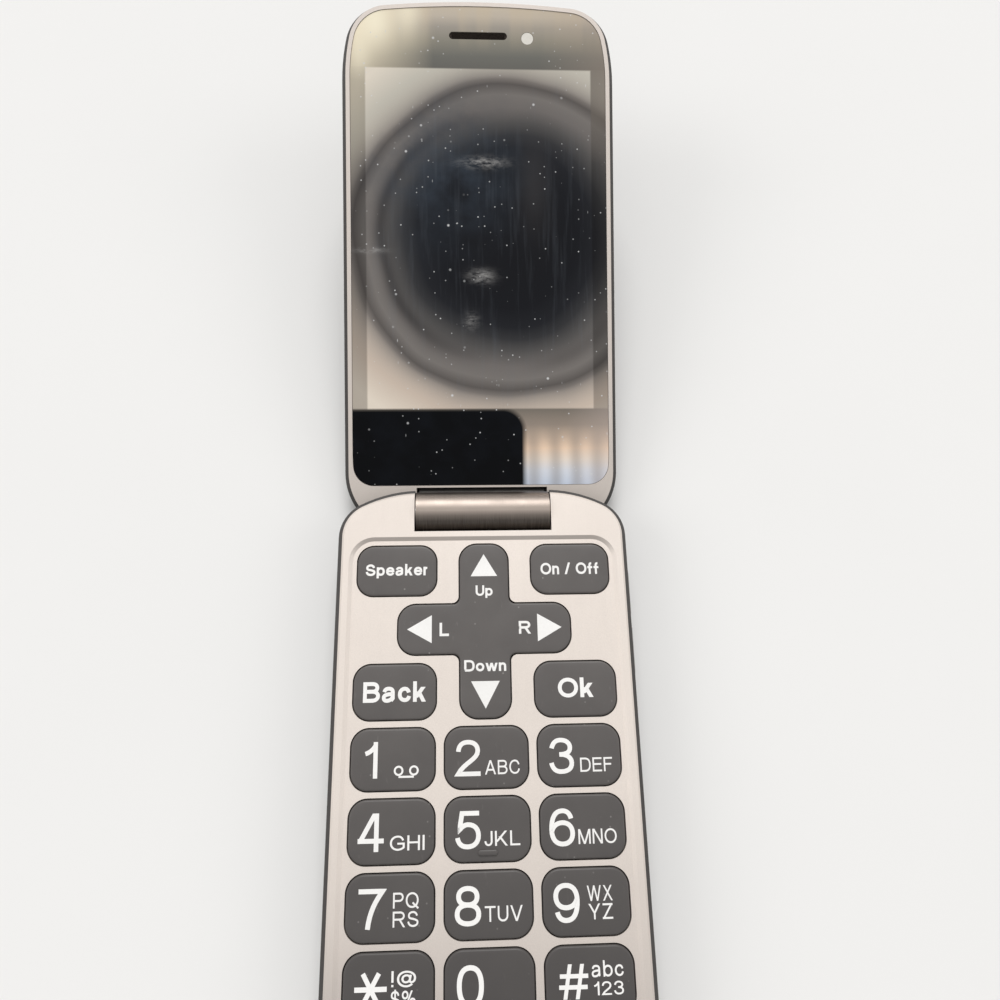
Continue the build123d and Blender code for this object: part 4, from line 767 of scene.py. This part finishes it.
# Glyphs of a plain grotesque: width over cap height, then the pen's strokes from 0,0 at the foot of
# the left edge to 1,1. M starts a stroke, L is straight, h and v are quarter ellipses that start
# across or upright, C is a free curve, and D is a slanted bar with level ends.
OVAL = "M .5 1 h 1 .5 v .5 0 h 0 .5 v .5 1"
BOWL = "M .5 .68 h 1 .34 v .5 0 h 0 .34 v .5 .68"
SNAKE = (
    "M .93 .73 C .88 .92 .7 1 .5 1 C .24 1 .06 .9 .06 .74 C .06 .5 .4 .55 .6 .49 "
    "C .86 .42 1 .4 1 .26 C 1 .09 .78 0 .52 0 C .26 0 .04 .1 0 .32"
)
GLYPHS = {
    "A": (0.92, "D 0 0 .5 1 D 1 0 .5 1 M .22 .3 L .78 .3"),
    "B": (0.81, "M 0 0 L 0 1 L .58 1 h .93 .77 v .58 .54 L 0 .54 M .56 .54 h 1 .27 v .56 0 L 0 0"),
    "C": (0.88, "M .97 .68 C .9 .9 .75 1 .53 1 h 0 .5 v .53 0 C .77 0 .94 .1 1 .35"),
    "D": (0.85, "M 0 0 L 0 1 L .42 1 C .84 1 1 .84 1 .5 C 1 .16 .84 0 .42 0 L 0 0"),
    "E": (0.75, "M 1 1 L 0 1 L 0 0 L 1 0 M 0 .53 L .93 .53"),
    "F": (0.7, "M 0 0 L 0 1 L 1 1 M 0 .52 L .84 .52"),
    "G": (0.92, "M .95 .7 C .88 .91 .74 1 .53 1 h 0 .5 v .54 0 C .72 0 .88 .07 1 .17 L 1 .46 "
                "L .58 .46"),
    "H": (0.78, "M 0 0 L 0 1 M 1 0 L 1 1 M 0 .53 L 1 .53"),
    "I": (0.13, "M .5 0 L .5 1"),
    "J": (0.54, "M 1 1 L 1 .3 v .5 0 h 0 .3"),
    "K": (0.85, "M 0 0 L 0 1 D .03 .26 .95 1 D 1 0 .34 .62"),
    "L": (0.67, "M 0 1 L 0 0 L 1 0"),
    "M": (0.95, "M 0 0 L 0 1 M 1 0 L 1 1 D .5 0 .02 1 D .5 0 .98 1"),
    "N": (0.78, "M 0 0 L 0 1 M 1 0 L 1 1 D .98 0 .02 1"),
    "O": (0.95, OVAL),
    "P": (0.78, "M 0 0 L 0 1 L .6 1 h 1 .74 v .6 .47 L 0 .47"),
    "Q": (0.95, OVAL + " M .6 .27 L 1 -.06"),
    "R": (0.91, "M 0 0 L 0 1 L .6 1 h .95 .745 v .6 .49 L 0 .49 D 1 0 .52 .53"),
    "S": (0.8, SNAKE),
    "T": (0.8, "M 0 1 L 1 1 M .5 0 L .5 1"),
    "U": (0.78, "M 0 1 L 0 .37 v .5 0 h 1 .37 L 1 1"),
    "V": (0.92, "D .5 0 0 1 D .5 0 1 1"),
    "W": (1.3, "D .25 0 0 1 D .25 0 .5 1 D .75 0 .5 1 D .75 0 1 1"),
    "X": (0.91, "D 0 0 .95 1 D 1 0 .05 1"),
    "Y": (0.91, "D .5 .4 0 1 D .5 .4 1 1 M .5 0 L .5 .42"),
    "Z": (0.8, "M .04 1 L 1 1 M 0 0 L 1 0 D 0 .03 1 .97"),
    "a": (0.67, "M .04 .5 C .1 .64 .24 .7 .46 .7 C .77 .7 .88 .62 .88 .46 L .88 .13 "
                "C .88 .07 .92 .02 .97 0 M .88 .4 C .7 .36 .5 .38 .3 .34 C .1 .31 0 .25 0 .16 "
                "C 0 .03 .12 -.02 .3 -.02 C .6 -.02 .86 .08 .88 .28"),
    "b": (0.66, "M 0 0 L 0 1 " + BOWL),
    "c": (0.63, "M .96 .45 C .9 .6 .76 .68 .53 .68 h 0 .34 v .53 0 C .78 0 .94 .08 1 .24"),
    "e": (0.68, "M .02 .36 L .99 .36 C .99 .57 .82 .68 .52 .68 h 0 .34 v .53 0 "
                "C .76 0 .92 .07 .98 .2"),
    "f": (0.46, "M .38 0 L .38 .8 C .38 .96 .6 1.02 1 1 M 0 .6 L .92 .6"),
    "k": (0.62, "M 0 0 L 0 1 D .05 .2 .95 .72 D 1 0 .4 .5"),
    "n": (0.6, "M 0 0 L 0 .68 M 0 .42 C .02 .6 .27 .68 .53 .68 C .86 .68 1 .6 1 .42 L 1 0"),
    "o": (0.69, BOWL),
    "p": (0.66, "M 0 -.26 L 0 .68 " + BOWL),
    "r": (0.4, "M 0 0 L 0 .68 M 0 .4 C .02 .6 .35 .7 1 .66"),
    "w": (0.99, "D .25 0 0 .72 D .25 0 .5 .72 D .75 0 .5 .72 D .75 0 1 .72"),
    "0": (0.69, "M .5 1 C .86 1 1 .8 1 .5 C 1 .2 .86 0 .5 0 C .14 0 0 .2 0 .5 C 0 .8 .14 1 .5 1"),
    "1": (0.42, "M 1 0 L 1 1 M 1 .97 C .78 .84 .45 .74 0 .7"),
    "2": (0.69, "M .03 .7 C .05 .9 .22 1 .5 1 C .8 1 .98 .9 .98 .72 C .98 .45 .3 .35 .02 0 L 1 0"),
    "3": (0.69, "M .03 .74 C .1 .92 .25 1 .48 1 C .76 1 .94 .9 .94 .76 C .94 .6 .75 .54 .4 .54 "
                "M .44 .54 C .8 .54 1 .43 1 .27 C 1 .09 .8 0 .48 0 C .22 0 .06 .08 0 .28"),
    "4": (0.72, "M .76 0 L .76 1 M .02 .25 L 1 .25 D .02 .28 .7 1"),
    "5": (0.69, "M .93 1 L .22 1 L .1 .5 C .2 .6 .35 .66 .5 .66 C .82 .66 1 .53 1 .33 "
                "C 1 .13 .8 0 .48 0 C .22 0 .05 .08 0 .27"),
    "6": (0.69, "M .95 .76 C .9 .92 .75 1 .54 1 C .2 1 0 .82 0 .42 C 0 .15 .2 0 .52 0 "
                "C .82 0 1 .13 1 .32 C 1 .51 .82 .64 .53 .64 C .25 .64 .05 .53 0 .36"),
    "7": (0.69, "M 0 1 L 1 1 C .7 .74 .42 .44 .34 -.07"),
    "8": (0.69, "M .5 1 C .78 1 .93 .9 .93 .765 C .93 .62 .78 .53 .5 .53 C .22 .53 .07 .62 "
                ".07 .765 C .07 .9 .22 1 .5 1 M .5 .53 C .82 .53 1 .43 1 .265 C 1 .1 .82 0 .5 0 "
                "C .18 0 0 .1 0 .265 C 0 .43 .18 .53 .5 .53"),
    "9": (0.69, "M .05 .24 C .1 .08 .25 0 .46 0 C .8 0 1 .18 1 .58 C 1 .85 .8 1 .48 1 "
                "C .18 1 0 .87 0 .68 C 0 .49 .18 .36 .47 .36 C .75 .36 .95 .47 1 .64"),
    "!": (0.2, "D .5 .28 .5 1 D .5 0 .5 .14"),
    "@": (1.1, "M .84 .12 C .74 .02 .62 -.05 .5 -.05 h 0 .48 v .5 1 h 1 .55 C 1 .36 .92 .24 .8 .24 "
               "C .7 .24 .68 .32 .7 .42 L .74 .7 M .5 .74 h .26 .48 v .46 .24 h .71 .52 v .5 .74"),
    "$": (0.74, SNAKE + " M .5 -.1 L .5 1.1"),
    "%": (1.1, "M .2 1 h .4 .76 v .2 .52 h 0 .76 v .2 1 M .8 .48 h 1 .24 v .8 0 h .6 .24 v .8 .48 "
               "D .26 0 .74 1"),
    "#": (1.0, "D .16 0 .38 1 D .62 0 .84 1 M .02 .32 L .94 .32 M .06 .68 L .98 .68"),
    "/": (0.52, "D 0 0 1 1"),
    " ": (0.3, ""),
}
# Stroke and gap over cap height: figures and capitals, then the bold words, which are also wider.
WEIGHTS = ((0.125, 0.16), (0.19, 0.1))
BOLD_WIDER = 1.05
ROUNDNESS = 0.58
CURVE_STEPS = 8
RUN = 0.7
# Each stroke of a glyph lies this much of the ink's depth over the last one.
LIFT = 0.02


def curve_points(start, first, second, end):
    points = []
    for step in range(1, CURVE_STEPS + 1):
        share = step / CURVE_STEPS
        left = 1 - share
        near = start * left**3 + first * (3 * left**2 * share)
        points.append(near + second * (3 * left * share**2) + end * share**3)
    return points


def pen_strokes(path):
    """Strokes as lists of points with the mark at each end, and the slanted bars."""
    marks = path.split()
    strokes, slants = [], []
    while marks:
        mark = marks.pop(0)
        count = {"C": 6, "D": 4}.get(mark, 2)
        values, marks = [float(part) for part in marks[:count]], marks[count:]
        end = Vector(values[-2:])
        if mark == "D":
            slants.append(values)
        elif mark == "M":
            strokes.append([[end], None, None])
        else:
            stroke = strokes[-1]
            start = stroke[0][-1]
            if mark == "L":
                stroke[0].append(end)
            elif mark == "C":
                stroke[0] += curve_points(start, Vector(values[:2]), Vector(values[2:4]), end)
            else:
                move = (end - start) * ROUNDNESS
                flat, steep = Vector((move.x, 0)), Vector((0, move.y))
                first, second = (flat, steep) if mark == "h" else (steep, flat)
                stroke[0] += curve_points(start, start + first, end - second, end)
            stroke[1:] = [stroke[1] or mark, mark]
    return strokes, slants


def band(lefts, rights, ring, lift):
    """Strip with depth between two edges, closed on itself for a ring."""
    count = len(lefts)
    points = []
    for left, right in zip(lefts, rights):
        for height in (lift, lift + 1):
            points += [Vector((*edge, height)) for edge in (left, right)]
    faces = []
    for step in range(count if ring else count - 1):
        here, after = 4 * step, 4 * ((step + 1) % count)
        for side, far in ((0, 1), (1, 3), (3, 2), (2, 0)):
            faces.append((here + side, after + side, after + far, here + far))
    if not ring:
        faces += [(0, 1, 3, 2), tuple(4 * (count - 1) + side for side in (2, 3, 1, 0))]
    return points, faces


def split_line(start, end):
    """Even points along a straight line, without its end."""
    steps = max(1, math.ceil((end - start).length / RUN))
    return [start.lerp(end, step / steps) for step in range(steps)]


def ribbon(line, half, straight, lift):
    """Strip of even width along a line, with mitred turns."""
    ring = (line[0] - line[-1]).length < 1e-6 and not any(straight)
    line = list(line[:-1] if ring else line)
    for end, near, flat in ((0, 1, straight[0]), (-1, -2, straight[1])):
        if flat and not ring:
            line[end] = line[end] + (line[end] - line[near]).normalized() * half
    fine = []
    for start, end in zip(line, line[1:] + line[:1] if ring else line[1:]):
        fine += split_line(start, end)
    if not ring:
        fine.append(line[-1])
    count = len(fine)
    turns = [fine[(step + 1) % count] - fine[step] for step in range(count)]
    sides = [Vector((-turn.y, turn.x)).normalized() for turn in turns]
    lefts, rights = [], []
    for step, point in enumerate(fine):
        met = [sides[step - 1], sides[step]]
        if not ring and step in (0, count - 1):
            met = [sides[min(step, count - 2)]]
        middle = sum(met, Vector((0, 0))).normalized()
        reach = half / max(middle.dot(met[0]), 0.5)
        lefts.append(point + middle * reach)
        rights.append(point - middle * reach)
    return band(rights, lefts, ring, lift)


def slant(values, wide, tall, stroke, lift):
    """Slanted bar with level ends."""
    low_x, low_y, high_x, high_y = values
    half = stroke / 2
    for _ in range(3):
        low = Vector((half + low_x * (wide - 2 * half), low_y * tall))
        high = Vector((half + high_x * (wide - 2 * half), high_y * tall))
        half = stroke / 2 * (high - low).length / abs(high.y - low.y)
    line = [*split_line(low, high), high]
    side = Vector((half, 0))
    return band([point - side for point in line], [point + side for point in line], False, lift)


def set_line(words, weight, tall, wide, middle, base):
    """Points and faces of each stroke of one line of print about its key's middle."""
    stroke, gap = (share * tall for share in WEIGHTS[weight])
    bits, pen = [], 0.0
    for letter in words:
        share, path = GLYPHS[letter]
        width = max(share * tall * (BOLD_WIDER if weight else 1), stroke)
        strokes, slants = pen_strokes(path)
        made = [slant(bar, width, tall, stroke, LIFT * step) for step, bar in enumerate(slants)]
        inner = Vector((width - stroke, tall - stroke))
        for step, (line, first, last) in enumerate(strokes):
            placed = [point * inner + Vector((stroke, stroke)) / 2 for point in line]
            ends = (first == "L", last == "L")
            made.append(ribbon(placed, stroke / 2, ends, LIFT * (step + 4)))
        bits += [([point + Vector((pen, 0, 0)) for point in some], sides) for some, sides in made]
        pen += width + gap
    full = pen - gap
    stretch = wide / full if wide else 1.0
    return [
        ([Vector((middle + (p.x - full / 2) * stretch, base + p.y, p.z)) for p in some], sides)
        for some, sides in bits
    ]


def slab(*outline):
    """Flat shape with depth from its outline, counter-clockwise."""
    count = len(outline)
    points = [Vector((x, y, height)) for height in (0, 1) for x, y in outline]
    faces = [tuple(reversed(range(count))), tuple(range(count, 2 * count))]
    for step in range(count):
        after = (step + 1) % count
        faces.append((step, after, after + count, step + count))
    return points, faces


def bar(x_low, y_low, x_high, y_high):
    return slab((x_low, y_low), (x_high, y_low), (x_high, y_high), (x_low, y_high))


def arrow(quarter, base, tip, half):
    """Triangle that points out from the middle, turned by quarters from the right."""
    spin = Matrix.Rotation(math.radians(90 * quarter), 2)
    return slab(*(spin @ Vector(point) for point in ((base, half), (base, -half), (tip, 0))))


def loop(x, y, outer, inner, steps=28):
    """Flat ring with depth."""
    points = [
        Vector((*(Vector((x, y)) + turned(360 * step / steps) * radius), height))
        for height in (0, 1) for radius in (inner, outer) for step in range(steps)
    ]
    faces = []
    low_in, low_out, top_in, top_out = (side * steps for side in range(4))
    for step in range(steps):
        after = (step + 1) % steps
        faces += [
            (low_in + after, low_out + after, low_out + step, low_in + step),
            (top_in + step, top_out + step, top_out + after, top_in + after),
            (low_out + step, low_out + after, top_out + after, top_out + step),
            (low_in + after, low_in + step, top_in + step, top_in + after),
        ]
    return points, faces


def asterisk(x, y, reach, half, bars=3):
    """Star of bars that cross at their middles."""
    pieces = []
    for step in range(bars):
        arm = turned(180 * step / bars) * reach
        ends = [Vector((x, y)) - arm, Vector((x, y)) + arm]
        pieces.append(ribbon(ends, half, (None, None), LIFT * step))
    return pieces


SHAPES = {
    "dpad_key": [arrow(1, 9.55, 13.7, 2.45), arrow(2, 9.55, 14.0, 2.5),
                 arrow(0, 9.6, 14.0, 2.5), arrow(3, 9.3, 14.0, 2.55)],
    "key_1": [loop(1.05, -1.85, 0.82, 0.5), loop(3.65, -1.85, 0.82, 0.5),
              bar(1.05, -3.0, 3.65, -2.67)],
    "key_0": [bar(1.0, -3.0, 3.6, -2.7), bar(1.0, -2.7, 1.3, -2.2), bar(3.3, -2.7, 3.6, -2.2)],
    "key_star": asterisk(-2.75, 0.0, 2.55, 0.36),
}
INK_GAP = 0.005


class PHONE_OT_legends(bpy.types.Operator):
    """Print the letters, figures and arrows on the keys."""

    bl_idname = "phone.legends"
    bl_label = "Legends"

    def execute(self, context):
        sizes = context.scene.phone_sizes
        finish = finishes(context.scene.phone_colours)["print_ink"]
        radius, crown, depth = (
            size / MM for size in (sizes.key_round, sizes.key_crown, sizes.print_depth)
        )
        for node, lines in LINES.items():
            centre, pad = centre_of(node), node == "dpad_key"
            width, height = top_size(node)
            wide, tall = width / 2 - radius, (PAD_ARM if pad else height) / 2 - radius
            bits = [bit for line in lines for bit in set_line(*line)] + SHAPES.get(node, [])
            points, faces = [], []
            for some, sides in bits:
                faces += [tuple(len(points) + corner for corner in side) for side in sides]
                for point in some:
                    across, up = abs(point.x), abs(point.y)
                    if pad:
                        across, up = max(across, up), min(across, up)
                    share = max(across / wide, up / tall)
                    top = EDGE_TOP + crown * max(0.0, 1 - share**2)
                    lift = INK_GAP + depth * point.z
                    points.append((centre.x + point.x, centre.y + point.y, top + lift))
            mesh_piece(f"print_{node}", points, faces, finish, node)
        return {"FINISHED"}


# ---------------------------------------------------------------- repeated pieces
class Tree(Graph):
    """A Geometry Nodes tree in the making, with named inputs."""

    def __init__(self, name, **inputs):
        super().__init__(bpy.data.node_groups.new(name, "GeometryNodeTree"))
        face = self.tree.interface
        face.new_socket("Geometry", in_out="OUTPUT", socket_type="NodeSocketGeometry")
        inputs.update({"Place": "Vector", "Turn": "Vector", "Finish": "Material"})
        for label, kind in inputs.items():
            face.new_socket(label, in_out="INPUT", socket_type="NodeSocket" + kind)
        self.given = self.add("NodeGroupInput").outputs

    def shape(self, kind, inputs=None, **settings):
        return self.add("GeometryNode" + kind, inputs, **settings).outputs[0]

    def vector(self, x=0.0, y=0.0, z=0.0):
        return self.node("CombineXYZ", {0: x, 1: y, 2: z}).outputs[0]

    def row(self, count, start, offset):
        inputs = {"Count": count, "Start Location": start, "Offset": offset}
        return self.shape("MeshLine", inputs, mode="OFFSET")

    def laid(self, points, piece):
        return self.shape("InstanceOnPoints", {"Points": points, "Instance": piece})

    def finish(self, geometry):
        """Set the pieces down in place as one mesh with its finish."""
        turn = self.add("FunctionNodeEulerToRotation", {0: self.given["Turn"]}).outputs[0]
        inputs = {"Geometry": geometry, "Translation": self.given["Place"], "Rotation": turn}
        placed = self.shape("Transform", inputs)
        real = self.shape("RealizeInstances", {0: placed})
        inputs = {"Geometry": real, "Material": self.given["Finish"]}
        done = self.shape("SetMaterial", inputs)
        self.add("NodeGroupOutput", {0: done})
        return self.tree


# Sides of a wire, and how far the second layer lies over the first, in wire radii.
WIRE_SIDES = 6
WEAVE_LIFT = 1.4


def weave_tree():
    """Two crossed layers of round wires, each wire a little off its even place."""
    names = dict.fromkeys(("Length", "Width", "Pitch", "Wire", "Slack"), "Float")
    tree = Tree("weave", **names, Seed="Int")
    given = tree.given
    inputs = {"Resolution": WIRE_SIDES, "Radius": given["Wire"]}
    profile = tree.shape("CurvePrimitiveCircle", inputs)
    slack = (tree.times(given["Slack"], -1.0), given["Slack"])
    layers = []
    for layer, (run, fill) in enumerate((("Length", "Width"), ("Width", "Length"))):

        def vector(along=0.0, aside=0.0, lift=0.0):
            return tree.vector(*((aside, along) if layer else (along, aside)), lift)

        half = tree.times(given[run], 0.5)
        inputs = {"Start": vector(tree.times(half, -1.0)), "End": vector(half)}
        wire = tree.shape("CurvePrimitiveLine", inputs)
        inputs = {"Curve": wire, "Profile Curve": profile, "Fill Caps": True}
        wire = tree.shape("CurveToMesh", inputs)
        gaps = tree.math("FLOOR", tree.math("DIVIDE", given[fill], given["Pitch"]))
        first = tree.times(tree.times(gaps, given["Pitch"]), -0.5)
        lift = tree.times(given["Wire"], WEAVE_LIFT * layer)
        start, offset = vector(0.0, first, lift), vector(0.0, given["Pitch"])
        points = tree.row(tree.math("ADD", gaps, 1.0), start, offset)
        low, high = (vector(0.0, value) for value in slack)
        inputs = {"Min": low, "Max": high, "Seed": given["Seed"]}
        drift = tree.add("FunctionNodeRandomValue", inputs, data_type="FLOAT_VECTOR").outputs[0]
        points = tree.shape("SetPosition", {"Geometry": points, "Offset": drift})
        layers.append(tree.laid(points, wire))
    return tree.finish(tree.shape("JoinGeometry", {0: layers}))


def row_tree():
    """A row of equal bars about its middle, single or crossed."""
    tree = Tree("row", Count="Int", Pitch="Float", Size="Vector", Crossed="Bool")
    given = tree.given
    single = tree.shape("MeshCube", {"Size": given["Size"]})
    inputs = {"Geometry": single, "Rotation": (0, 0, math.pi / 2)}
    turned_bar = tree.shape("Transform", inputs)
    both = tree.shape("JoinGeometry", {0: [single, turned_bar]})
    inputs = {"Switch": given["Crossed"], "False": single, "True": both}
    piece = tree.shape("Switch", inputs, input_type="GEOMETRY")
    gaps = tree.math("SUBTRACT", given["Count"], 1.0)
    first = tree.times(tree.times(gaps, given["Pitch"]), -0.5)
    points = tree.row(given["Count"], tree.vector(first), tree.vector(given["Pitch"]))
    return tree.finish(tree.laid(points, piece))


LENGTHS = ("Length", "Width", "Pitch", "Wire", "Slack", "Size", "Place")


def grown(name, group, body, slot, **values):
    """One plain mesh from a tree, riding on its body; lengths are in millimetres."""
    source = bpy.data.objects.new(name + "_source", bpy.data.meshes.new(name + "_source"))
    bpy.context.scene.collection.objects.link(source)
    grow = source.modifiers.new("grow", "NODES")
    grow.node_group = group
    for item in group.interface.items_tree:
        if item.in_out == "INPUT" and item.name in values:
            value = values[item.name]
            if item.name in LENGTHS:
                value = value * MM
            grow[item.identifier] = tuple(value) if isinstance(value, Vector) else value
    ready = source.evaluated_get(bpy.context.evaluated_depsgraph_get())
    mesh = bpy.data.meshes.new_from_object(ready)
    mesh.name = name
    bpy.data.objects.remove(source)
    piece = set_down(name, mesh, body)
    smooth(piece)
    return piece


# How far the mesh lies under the earpiece's middle, the cloth over the loudspeaker's face, and the
# contacts behind the port's mouth and under its middle; then the radius of a screw's head.
MESH_SINK = 0.47
CLOTH_RISE = 0.25
CONTACTS_IN, CONTACTS_DOWN = 2.5, 0.38
CROSS_PLACE, CROSS_PITCH = (0, 46.2, 1.19), 45.8


class PHONE_OT_sound_weaves(bpy.types.Operator):
    """Weave the fine mesh of the earpiece and of the loudspeaker."""

    bl_idname = "phone.sound_weaves"
    bl_label = "Sound Weaves"

    def execute(self, context):
        finish = finishes(context.scene.phone_colours)["mesh_dark"]
        group = weave_tree()
        place = centre_of("earpiece_mesh") - LID_OUT * MESH_SINK
        grown("weave_earpiece", group, "lid", "mesh_metal", Length=10.6, Width=1.3, Pitch=0.22,
              Wire=0.04, Slack=0.01, Seed=3, Place=place, Turn=(LID_RISE, 0, 0), Finish=finish)
        place = centre_of("loudspeaker")
        place.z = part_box("loudspeaker")[0].z / MM + CLOTH_RISE
        grown("weave_loudspeaker", group, "base", "mesh_metal", Length=15, Width=9, Pitch=0.5,
              Wire=0.08, Slack=0.02, Seed=5, Place=place, Finish=finish)
        return {"FINISHED"}


class PHONE_OT_small_metal(bpy.types.Operator):
    """Lay the contacts in the charging port and the crosses in the heads of the back screws."""

    bl_idname = "phone.small_metal"
    bl_label = "Contacts and Screw Crosses"

    def execute(self, context):
        made = finishes(context.scene.phone_colours)
        group = row_tree()
        place = centre_of("charging_port")
        place.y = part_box("charging_port")[0].y / MM + CONTACTS_IN
        place.z -= CONTACTS_DOWN
        grown("contacts_port", group, "base", "port_metal", Count=5, Pitch=0.95,
              Size=Vector((0.4, 3.0, 0.06)), Place=place, Finish=made["turned_brass"])
        grown("crosses_screws", group, "base", "black_plastic", Count=2,
              Pitch=CROSS_PITCH, Size=Vector((1.7, 0.34, 0.04)), Crossed=True,
              Place=Vector(CROSS_PLACE), Finish=made["moulded_black"])
        return {"FINISHED"}


# ---------------------------------------------------------------- carried-over pieces
class PHONE_OT_finishes(bpy.types.Operator):
    """Give every piece of the frame its finish."""

    bl_idname = "phone.finishes"
    bl_label = "Shell and Works Finishes"

    def execute(self, context):
        made = finishes(context.scene.phone_colours)
        for finish, nodes in FINISH_NODES.items():
            for node in nodes.split():
                materials = frame["nodes"][node].data.materials
                materials.clear()
                materials.append(made[finish])
        return {"FINISHED"}


# ---------------------------------------------------------------- stage
# Lamps as the sun seen through haze: place in metres and turn; then the camera in millimetres.
LAMP_ANGLE = math.radians(31)
RIGHT_SHARE = 0.6
LAMPS = {
    "lamp_back": ((0, 0.66, 0.62), (-0.82, 0, 0)),
    "lamp_left": ((-0.75, -0.15, 0.5), (0, -0.98, 0)),
    "lamp_right": ((0.75, -0.25, 0.5), (0, 0.98, 0)),
}
CAMERA_PLACE = Vector((-2.676, 11.562, 142.993))
CAMERA_TURN = Euler((0.29085308, -0.03883726, -0.02089806))
SENSOR_WIDTH = 36
CLIP_START = 5
FLOOR_DROP = 0.05


class PHONE_OT_stage(bpy.types.Operator):
    """Set the pale floor, the soft lamps and the camera."""

    bl_idname = "phone.stage"
    bl_label = "Stage"

    def execute(self, context):
        scene, stage = context.scene, context.scene.phone_stage
        self.floor(scene, stage.floor_size / 2)
        self.world(scene, stage)
        side = stage.side_power
        for name, power in zip(LAMPS, (stage.lamp_power, side, side * RIGHT_SHARE)):
            data = bpy.data.lights.new(name, "SUN")
            data.angle = LAMP_ANGLE
            data.energy = power
            self.placed(scene, name, data, *LAMPS[name])
        data = bpy.data.cameras.new("camera")
        data.lens = stage.focal_length
        data.sensor_width = SENSOR_WIDTH
        data.clip_start = CLIP_START * MM
        scene.camera = self.placed(scene, "camera", data, CAMERA_PLACE * MM, CAMERA_TURN)
        scene.view_settings.view_transform = "Standard"
        return {"FINISHED"}

    def placed(self, scene, name, data, place, turn):
        thing = bpy.data.objects.new(name, data)
        thing.location = place
        thing.rotation_euler = turn
        scene.collection.objects.link(thing)
        return thing

    def floor(self, scene, half):
        mesh = bpy.data.meshes.new("floor")
        corners = ((-half, -half), (half, -half), (half, half), (-half, half))
        mesh.from_pydata([(*corner, -FLOOR_DROP * MM) for corner in corners], [], [(0, 1, 2, 3)])
        work = Finish("floor_matt", roughness=0.8)
        dim = tuple(part * 0.97 for part in scene.phone_colours.floor)
        work.set("Base Color", work.mix(work.noise(14, 3.0), scene.phone_colours.floor, dim))
        mesh.materials.append(work.material)
        floor = bpy.data.objects.new("floor", mesh)
        scene.collection.objects.link(floor)

    def world(self, scene, stage):
        """Even light, and a backdrop that looks the same straight, mirrored and through glass."""
        scene.world = bpy.data.worlds.new("studio")
        scene.world.use_nodes = True
        work = Graph(scene.world.node_tree)
        path = work.node("LightPath").outputs
        seen = work.most(path["Is Glossy Ray"], path["Is Transmission Ray"])
        seen = work.ranged(
            work.most(path["Is Camera Ray"], seen), 0, 1, stage.world_level, stage.backdrop_level
        )
        backdrop = work.tree.nodes["Background"].inputs
        work.join((1, 1, 1), backdrop["Color"])
        work.join(seen, backdrop["Strength"])


class PHONE_PT_pieces(bpy.types.Panel):
    """Lists the settings and the pieces in the sidebar."""

    bl_label = "Flip Phone"
    bl_idname = "PHONE_PT_pieces"
    bl_space_type = "VIEW_3D"
    bl_region_type = "UI"
    bl_category = "Phone"

    def draw(self, context):
        layout = self.layout
        for place in GROUPS:
            group = getattr(context.scene, place)
            box = layout.box()
            for name in group.__annotations__:
                box.prop(group, name)
        for operator in OPERATORS:
            layout.operator(operator.bl_idname)


GROUPS = {"phone_colours": PhoneColours, "phone_sizes": PhoneSizes, "phone_stage": PhoneStage}
OPERATORS = (
    PHONE_OT_stage,
    PHONE_OT_finishes,
    PHONE_OT_key_caps,
    PHONE_OT_direction_pad,
    PHONE_OT_legends,
    PHONE_OT_sound_weaves,
    PHONE_OT_small_metal,
)
CLASSES = (*GROUPS.values(), *OPERATORS, PHONE_PT_pieces)


def register():
    for one in CLASSES:
        bpy.utils.register_class(one)
    for place, group in GROUPS.items():
        setattr(bpy.types.Scene, place, PointerProperty(type=group))


def unregister():
    for place in GROUPS:
        delattr(bpy.types.Scene, place)
    for one in reversed(CLASSES):
        bpy.utils.unregister_class(one)


def main():
    register()
    bpy.ops.phone.stage()
    bpy.ops.phone.finishes()
    bpy.ops.phone.key_caps()
    bpy.ops.phone.direction_pad()
    bpy.ops.phone.legends()
    bpy.ops.phone.sound_weaves()
    bpy.ops.phone.small_metal()
    bpy.context.view_layer.update()


if __name__ == "__main__":
    main()
